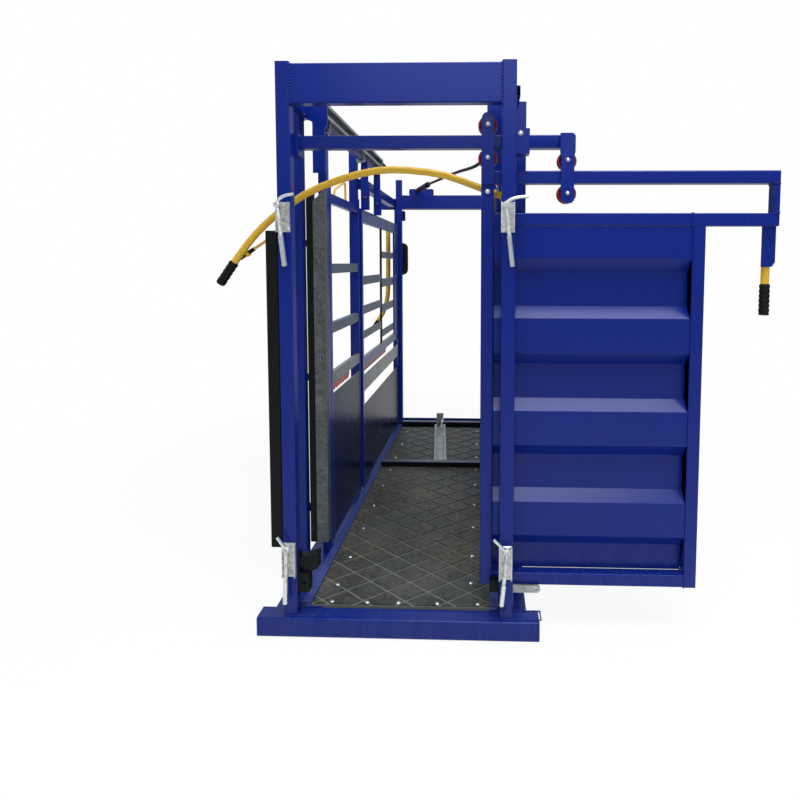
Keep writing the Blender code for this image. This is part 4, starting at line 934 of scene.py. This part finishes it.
class CRUSH_OT_rollers(bpy.types.Operator):
    """Turned rollers of the gate and its guide"""

    bl_idname = "crush.rollers"
    bl_label = "Rollers"

    def execute(self, context):
        uses = [(use, level) for use in ("hanger", "guide") for level in ("upper", "lower")]
        for use, level in uses:
            node = f"{use}_roller_{level}"
            low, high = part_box(node)
            half = (high.y - low.y) / 2
            radius = (high.x - low.x) / 2
            web = half * 0.60
            face = [
                (0.0066, half), (0.0125, half), (0.0135, half - 0.0012), (0.0150, web + 0.001),
                (0.0170, web), (0.0270, web), (0.0288, web + 0.0012), (0.0296, half - 0.0012),
                (0.0306, half), (radius - 0.0030, half), (radius - 0.0008, half - 0.0008),
                (radius, half - 0.0030),
            ]
            profile = face + [(across, -height) for across, height in reversed(face)]
            stand_in(node, spun(profile, middle(node), "red", 72), "red")
        return {"FINISHED"}


class CRUSH_OT_latches(bpy.types.Operator):
    """Galvanised swing latches with their bent arms"""

    bl_idname = "crush.latches"
    bl_label = "Latches"

    def execute(self, context):
        for level in ("upper", "lower"):
            for name, _ in SIDES:
                node = f"latch_{level}_{name}"
                dress(f"{node}_bracket", "pale")
                self.arm(node)
        return {"FINISHED"}

    def arm(self, node):
        """Rod with its eye, bright lower sleeve and bent handle, and the ring at one foot."""
        (x, z), neck, arm_end, (across, rise), bow = LATCHES[node]
        y = LATCH_Y
        pin, foot = Vector((x, y, z)), Vector((x + arm_end[0], y, z + arm_end[1]))
        rod = [pin.lerp(foot, 0.04 + (neck + 0.006) / -arm_end[1] * i / 12) for i in range(13)]
        start = neck / -arm_end[1]
        tube = [pin.lerp(foot, start + (1.0 - start) * i / 12) for i in range(13)]
        handle = smooth_line([
            (x - across * 0.06, y, z + rise * 0.10 * bow),
            (x + across * 0.20, y - 0.002, z + rise * (0.20 + 0.40 * bow)),
            (x + across * 0.55, y - 0.004, z + rise * (0.55 + 0.33 * bow)),
            (x + across, y - 0.004, z + rise),
        ])
        eye = EYE + [(radius, -height) for radius, height in reversed(EYE)]
        parts = [
            spun(eye, pin, "pale", 40),
            sleeve(rod, "pale", ROD_RADIUS, step=0.006, sides=20),
            sleeve(tube, "zinc", SLEEVE_RADIUS, step=0.0015, sides=24),
            sleeve(handle, "zinc", HANDLE_RADIUS, step=0.0015, sides=20),
        ]
        if node == "latch_lower_right":
            centre = foot + Vector((0.004, 0.0, -0.006))
            turns = [2 * pi * i / 24 for i in range(25)]
            loop = [
                centre + Vector((0.011 * cos(t), -0.003 * sin(t / 2), 0.008 * sin(t)))
                for t in turns
            ]
            parts.append(sleeve(loop, "rubber", RING_RADIUS, step=0.0015, sides=10))
        stand_in(f"{node}_arm", together(parts), "pale")


class CRUSH_OT_floor(bpy.types.Operator):
    """Deck, diamond mats with their bolts, and the front floor channel"""

    bl_idname = "crush.floor"
    bl_label = "Floor"

    def execute(self, context):
        sizes = context.scene.crush_sizes
        dress("floor_deck", "deck", DECK_ZONES)
        dress("floor_channel", "galvanised")
        for half in ("rear", "front"):
            node = f"floor_mat_{half}"
            low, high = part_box(node)
            base = self.slab(low, (high.x, high.y, high.z - sizes.groove_depth))
            stand_in(node, together([base, self.tiles(low, high, sizes)]), "mat")
        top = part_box("floor_mat_rear")[1].z
        spots = [((x, MAT_ROW_Y, top), (0, 0, 1)) for x in MAT_ROW_X]
        for y in MAT_EDGE_Y:
            spots += [((x, y + shift, top), (0, 0, 1)) for x, shift in MAT_EDGES]
        bolts("mat_bolts", "frame", spots, sizes.mat_bolt_radius, MAT_WASHER, MAT_BOLT_HEIGHT)
        return {"FINISHED"}

    def slab(self, low, high):
        """Body of a mat below its diamonds."""
        bm = bmesh.new()
        bmesh.ops.create_cube(bm, size=1.0)
        bmesh.ops.scale(bm, vec=[high[i] - low[i] for i in range(3)], verts=bm.verts)
        bmesh.ops.translate(bm, vec=[(high[i] + low[i]) / 2 for i in range(3)], verts=bm.verts)
        mesh = mesh_from(bm)
        mesh.materials.append(finish("mat"))
        return mesh

    def tiles(self, low, high, sizes):
        """Diamonds over a mat, trimmed at its edges."""
        wide, long = sizes.tile_width, sizes.tile_length
        spots = []
        for row in TILE_ROWS:
            for column in TILE_COLUMNS:
                x = TILE_START[0] + wide * (column + 0.5 * (row % 2))
                y = TILE_START[1] + long * 0.5 * (row - 1)
                if low.y - long < y < high.y + long and abs(x) < high.x + wide / 2:
                    spots.append((x, y, high.z - sizes.groove_depth / 2))
        trim = sizes.groove * 0.64
        values = {
            "Width": wide - trim * 1.9, "Length": long - trim * 1.55, "Height": sizes.groove_depth,
        }
        mesh = repeated(tree("diamonds", diamond_tree), new_mesh(spots), values)
        bm = bmesh.new()
        bm.from_mesh(mesh)
        for co, no in (
            ((high.x - MAT_MARGIN, 0, 0), (1, 0, 0)), ((low.x + MAT_MARGIN, 0, 0), (-1, 0, 0)),
            ((0, high.y - MAT_MARGIN, 0), (0, 1, 0)), ((0, low.y + MAT_MARGIN, 0), (0, -1, 0)),
        ):
            geometry = bm.verts[:] + bm.edges[:] + bm.faces[:]
            bmesh.ops.bisect_plane(bm, geom=geometry, plane_co=co, plane_no=no, clear_outer=True)
            bmesh.ops.holes_fill(bm, edges=bm.edges)
        bmesh.ops.recalc_face_normals(bm, faces=bm.faces)
        return mesh_from(bm, mesh)


class CRUSH_OT_body(bpy.types.Operator):
    """Side frames, roof rails with their buffers, end channels and seal strips"""

    bl_idname = "crush.body"
    bl_label = "Side frames and roof"

    def execute(self, context):
        for name, side in SIDES:
            dress(f"side_frame_{name}", "blue")
            dress(f"roof_rail_{name}", "galvanised")
            dress(f"end_channel_{name}", "weathered")
            dress(f"seal_strip_{name}", "rubber")
            node = f"roof_buffer_{name}"
            low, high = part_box(node)
            centre = middle(node)
            length = high.y - low.y
            line = [(centre.x, low.y + length * i / 30, centre.z) for i in range(31)]
            pitch = length / BUFFER_RIBS
            coil = sleeve(line, "rubber", BUFFER_RADIUS, BUFFER_RIB_HEIGHT, pitch, 0.0014)
            stand_in(node, coil, "rubber")
            weld(f"side_welds_{name}", "frame", self.seams(side))
        return {"FINISHED"}

    def seams(self, side):
        """Outlines of the joints of one side frame."""
        loops = []
        x0, x1 = sorted(side * x for x in SIDE_POST_X)
        z0, z1 = ROOF_TUBE_Z
        for y in SIDE_POST_Y:
            loops.append(ring((x0, y, 0), (x1, y + TUBE, 0), "Z", SIDE_FOOT))
            inner = side * SIDE_POST_X[0]
            loops.append(ring((0, y + 0.004, z0), (0, y + 0.046, z1), "X", inner))
        (x0, x1), (z0, z1) = HAUNCH_X, HAUNCH_Z
        haunch = ring((x0, 0, z0), (x1, 0, z1), "Y", HAUNCH_Y)
        return [*loops, [Vector((side * p.x, p.y, p.z)) for p in haunch]]


class CRUSH_OT_walls(bpy.types.Operator):
    """Vet gates and squeeze panels with their slats, channels and toothed racks"""

    bl_idname = "crush.walls"
    bl_label = "Walls"

    def execute(self, context):
        for name, side in SIDES:
            dress(f"vet_gate_{name}", "blue", zones_on(side, VET_ZONES))
            dress(f"squeeze_panel_{name}", "blue", zones_on(side, SQUEEZE_ZONES))
            paint(f"bar_rack_rear_{name}", "rack")
            paint(f"bar_rack_front_{name}", "rack")
            dress(f"squeeze_crank_{name}", "blue")
        return {"FINISHED"}


class CRUSH_OT_squeeze(bpy.types.Operator):
    """Curved squeeze lever with its grip, release rod and pivot"""

    bl_idname = "crush.squeeze"
    bl_label = "Squeeze lever"

    def execute(self, context):
        dress("squeeze_pivot", "blue")
        dress("squeeze_lever", "yellow", sharp=TUBE_SHARP)
        dress("squeeze_release_rod", "yellow", RELEASE_ZONES, sharp=TUBE_SHARP)
        dress("squeeze_lever_grip", "rubber", sharp=TUBE_SHARP)
        return {"FINISHED"}


class CRUSH_OT_front(bpy.types.Operator):
    """Front frame, head jaws with their pads, head lever and cable"""

    bl_idname = "crush.front"
    bl_label = "Head bail"

    def execute(self, context):
        dress("front_frame", "blue", FRONT_ZONES)
        for name, _ in SIDES:
            dress(f"head_jaw_{name}", "blue")
            node = f"head_pad_{name}"
            pad = stand_in(node, merged(node), "rubber")
            rounded(pad, "rounded", PAD_EDGE, angle=20)
        dress("head_lever", "yellow", sharp=TUBE_SHARP)
        dress("head_lever_grip", "rubber", sharp=TUBE_SHARP)
        self.cable()
        return {"FINISHED"}

    def cable(self):
        """Black cable under the roof, with the thicker sheath at its far end."""
        route = smooth_line(CABLE, 4)
        length = sum((b - a).length for a, b in zip(route, route[1:]))
        line = sleeve(route, "rubber", CABLE_DIAMETER / 2, step=0.008, sides=20)
        cord = stand_in("head_cable", line, "rubber")
        line = sleeve(smooth_line(SHEATH, 6), "rubber", SHEATH_RADIUS, step=0.004, sides=28)
        sheath = place("head_cable_sheath", line, "rubber", "frame", weighted=False)


class CRUSH_OT_studio(bpy.types.Operator):
    """Camera, soft lamps, world and pale floor"""

    bl_idname = "crush.studio"
    bl_label = "Studio"

    def execute(self, context):
        studio = context.scene.crush_studio
        context.scene.view_settings.view_transform = "Standard"
        self.camera(context)
        self.world(context, studio)
        for name, (at, aim, size) in LAMPS.items():
            self.lamp(f"{name}_lamp", at, aim, size, getattr(studio, f"{name}_power"))
        self.floor(studio.floor_size)
        return {"FINISHED"}

    def camera(self, context):
        """Camera at the photograph's angle."""
        yaw, pitch, roll = (radians(angle) for angle in CAMERA_TURN)
        forward = Vector((-sin(yaw) * cos(pitch), cos(yaw) * cos(pitch), -sin(pitch)))
        right = Vector((cos(yaw), sin(yaw), 0.0))
        up = right.cross(forward)
        across = cos(roll) * right + sin(roll) * up
        upright = cos(roll) * up - sin(roll) * right
        turn = Matrix((across, upright, -forward)).transposed().to_4x4()
        data = bpy.data.cameras.new("camera")
        data.sensor_width = 36.0
        data.lens = CAMERA_LENS
        data.shift_x, data.shift_y = CAMERA_SHIFT
        data.clip_end = 200.0
        camera = bpy.data.objects.new("camera", data)
        camera.matrix_world = Matrix.Translation(CAMERA_AT) @ turn
        context.scene.collection.objects.link(camera)
        context.scene.camera = camera

    def world(self, context, studio):
        """White to the camera; a soft sky, brighter overhead, for everything else."""
        world = bpy.data.worlds.new("studio")
        world.use_nodes = True
        sheet = Sheet(world.node_tree)
        direction = sheet.add("ShaderNodeTexCoord", output=0)
        rise = sheet.add("ShaderNodeSeparateXYZ", inputs={0: direction}, output=2)
        share = (rise * 1.1 + 0.12).held()
        strength = share * (studio.sky_high - studio.sky_low) + studio.sky_low
        light = {"Color": (0.97, 0.98, 1.0, 1.0), "Strength": strength}
        sky = sheet.add("ShaderNodeBackground", {}, light)
        path = sheet.add("ShaderNodeLightPath").socket.node.outputs
        glossy = Value(sheet, path["Is Glossy Ray"])
        pale = 1.0 - glossy * (1.0 - (rise * 1.5 + 0.10).held()) * 0.72
        tint = sheet.mix(glossy, (1.0, 1.0, 1.0), (0.82, 0.92, 1.0))
        white = sheet.add("ShaderNodeBackground", {}, {"Color": tint, "Strength": pale})
        through = Value(sheet, path["Is Transmission Ray"])
        seen = (Value(sheet, path["Is Camera Ray"]) + glossy + through).held()
        mixed = sheet.add("ShaderNodeMixShader", {}, {0: seen, 1: sky, 2: white})
        sheet.add("ShaderNodeOutputWorld", {}, {"Surface": mixed})
        context.scene.world = world

    def lamp(self, name, at, aim, size, power):
        """Rectangular soft lamp."""
        data = bpy.data.lights.new(name, "AREA")
        data.shape = "RECTANGLE"
        data.size, data.size_y = size
        data.energy = power
        data.color = (0.93, 0.97, 1.0)
        lamp = bpy.data.objects.new(name, data)
        direction = Vector(aim) - Vector(at)
        turn = direction.to_track_quat("-Z", "Y").to_matrix().to_4x4()
        lamp.matrix_world = Matrix.Translation(at) @ turn
        bpy.context.scene.collection.objects.link(lamp)

    def floor(self, size):
        """Pale floor under the crush."""
        half = size / 2
        corners = ((-half, -half), (half, -half), (half, half), (-half, half))
        points = [(x, y, FLOOR_LEVEL) for x, y in corners]
        mesh = new_mesh(points, faces=[(0, 1, 2, 3)], name="floor")
        mesh.materials.append(studio_floor())
        floor = bpy.data.objects.new("studio_floor", mesh)
        bpy.context.scene.collection.objects.link(floor)


OPERATORS = (
    CRUSH_OT_studio, CRUSH_OT_portal, CRUSH_OT_gate, CRUSH_OT_rollers, CRUSH_OT_latches,
    CRUSH_OT_floor, CRUSH_OT_body, CRUSH_OT_walls, CRUSH_OT_squeeze, CRUSH_OT_front,
)


class CRUSH_PT_sidebar(bpy.types.Panel):
    """Sizes, colours and pieces of the crush"""

    bl_idname = "CRUSH_PT_sidebar"
    bl_label = "Cattle crush"
    bl_space_type = "VIEW_3D"
    bl_region_type = "UI"
    bl_category = "Crush"

    def draw(self, context):
        column = self.layout.column()
        scene = context.scene
        for group in (scene.crush_sizes, scene.crush_colours, scene.crush_studio):
            for name in group.bl_rna.properties.keys():
                if name not in ("rna_type", "name"):
                    column.prop(group, name)
        for operator in OPERATORS:
            column.operator(operator.bl_idname)


CLASSES = (CrushColours, CrushSizes, CrushStudio, *OPERATORS, CRUSH_PT_sidebar)


def register():
    """Register the classes and attach the settings to the scene."""
    for each in CLASSES:
        bpy.utils.register_class(each)
    bpy.types.Scene.crush_colours = PointerProperty(type=CrushColours)
    bpy.types.Scene.crush_sizes = PointerProperty(type=CrushSizes)
    bpy.types.Scene.crush_studio = PointerProperty(type=CrushStudio)


def unregister():
    """Remove the settings and the classes."""
    del bpy.types.Scene.crush_studio
    del bpy.types.Scene.crush_sizes
    del bpy.types.Scene.crush_colours
    for each in reversed(CLASSES):
        bpy.utils.unregister_class(each)


def main():
    """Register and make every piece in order."""
    register()
    for operator in OPERATORS:
        group, name = operator.bl_idname.split(".")
        getattr(getattr(bpy.ops, group), name)()


if __name__ == "__main__":
    main()
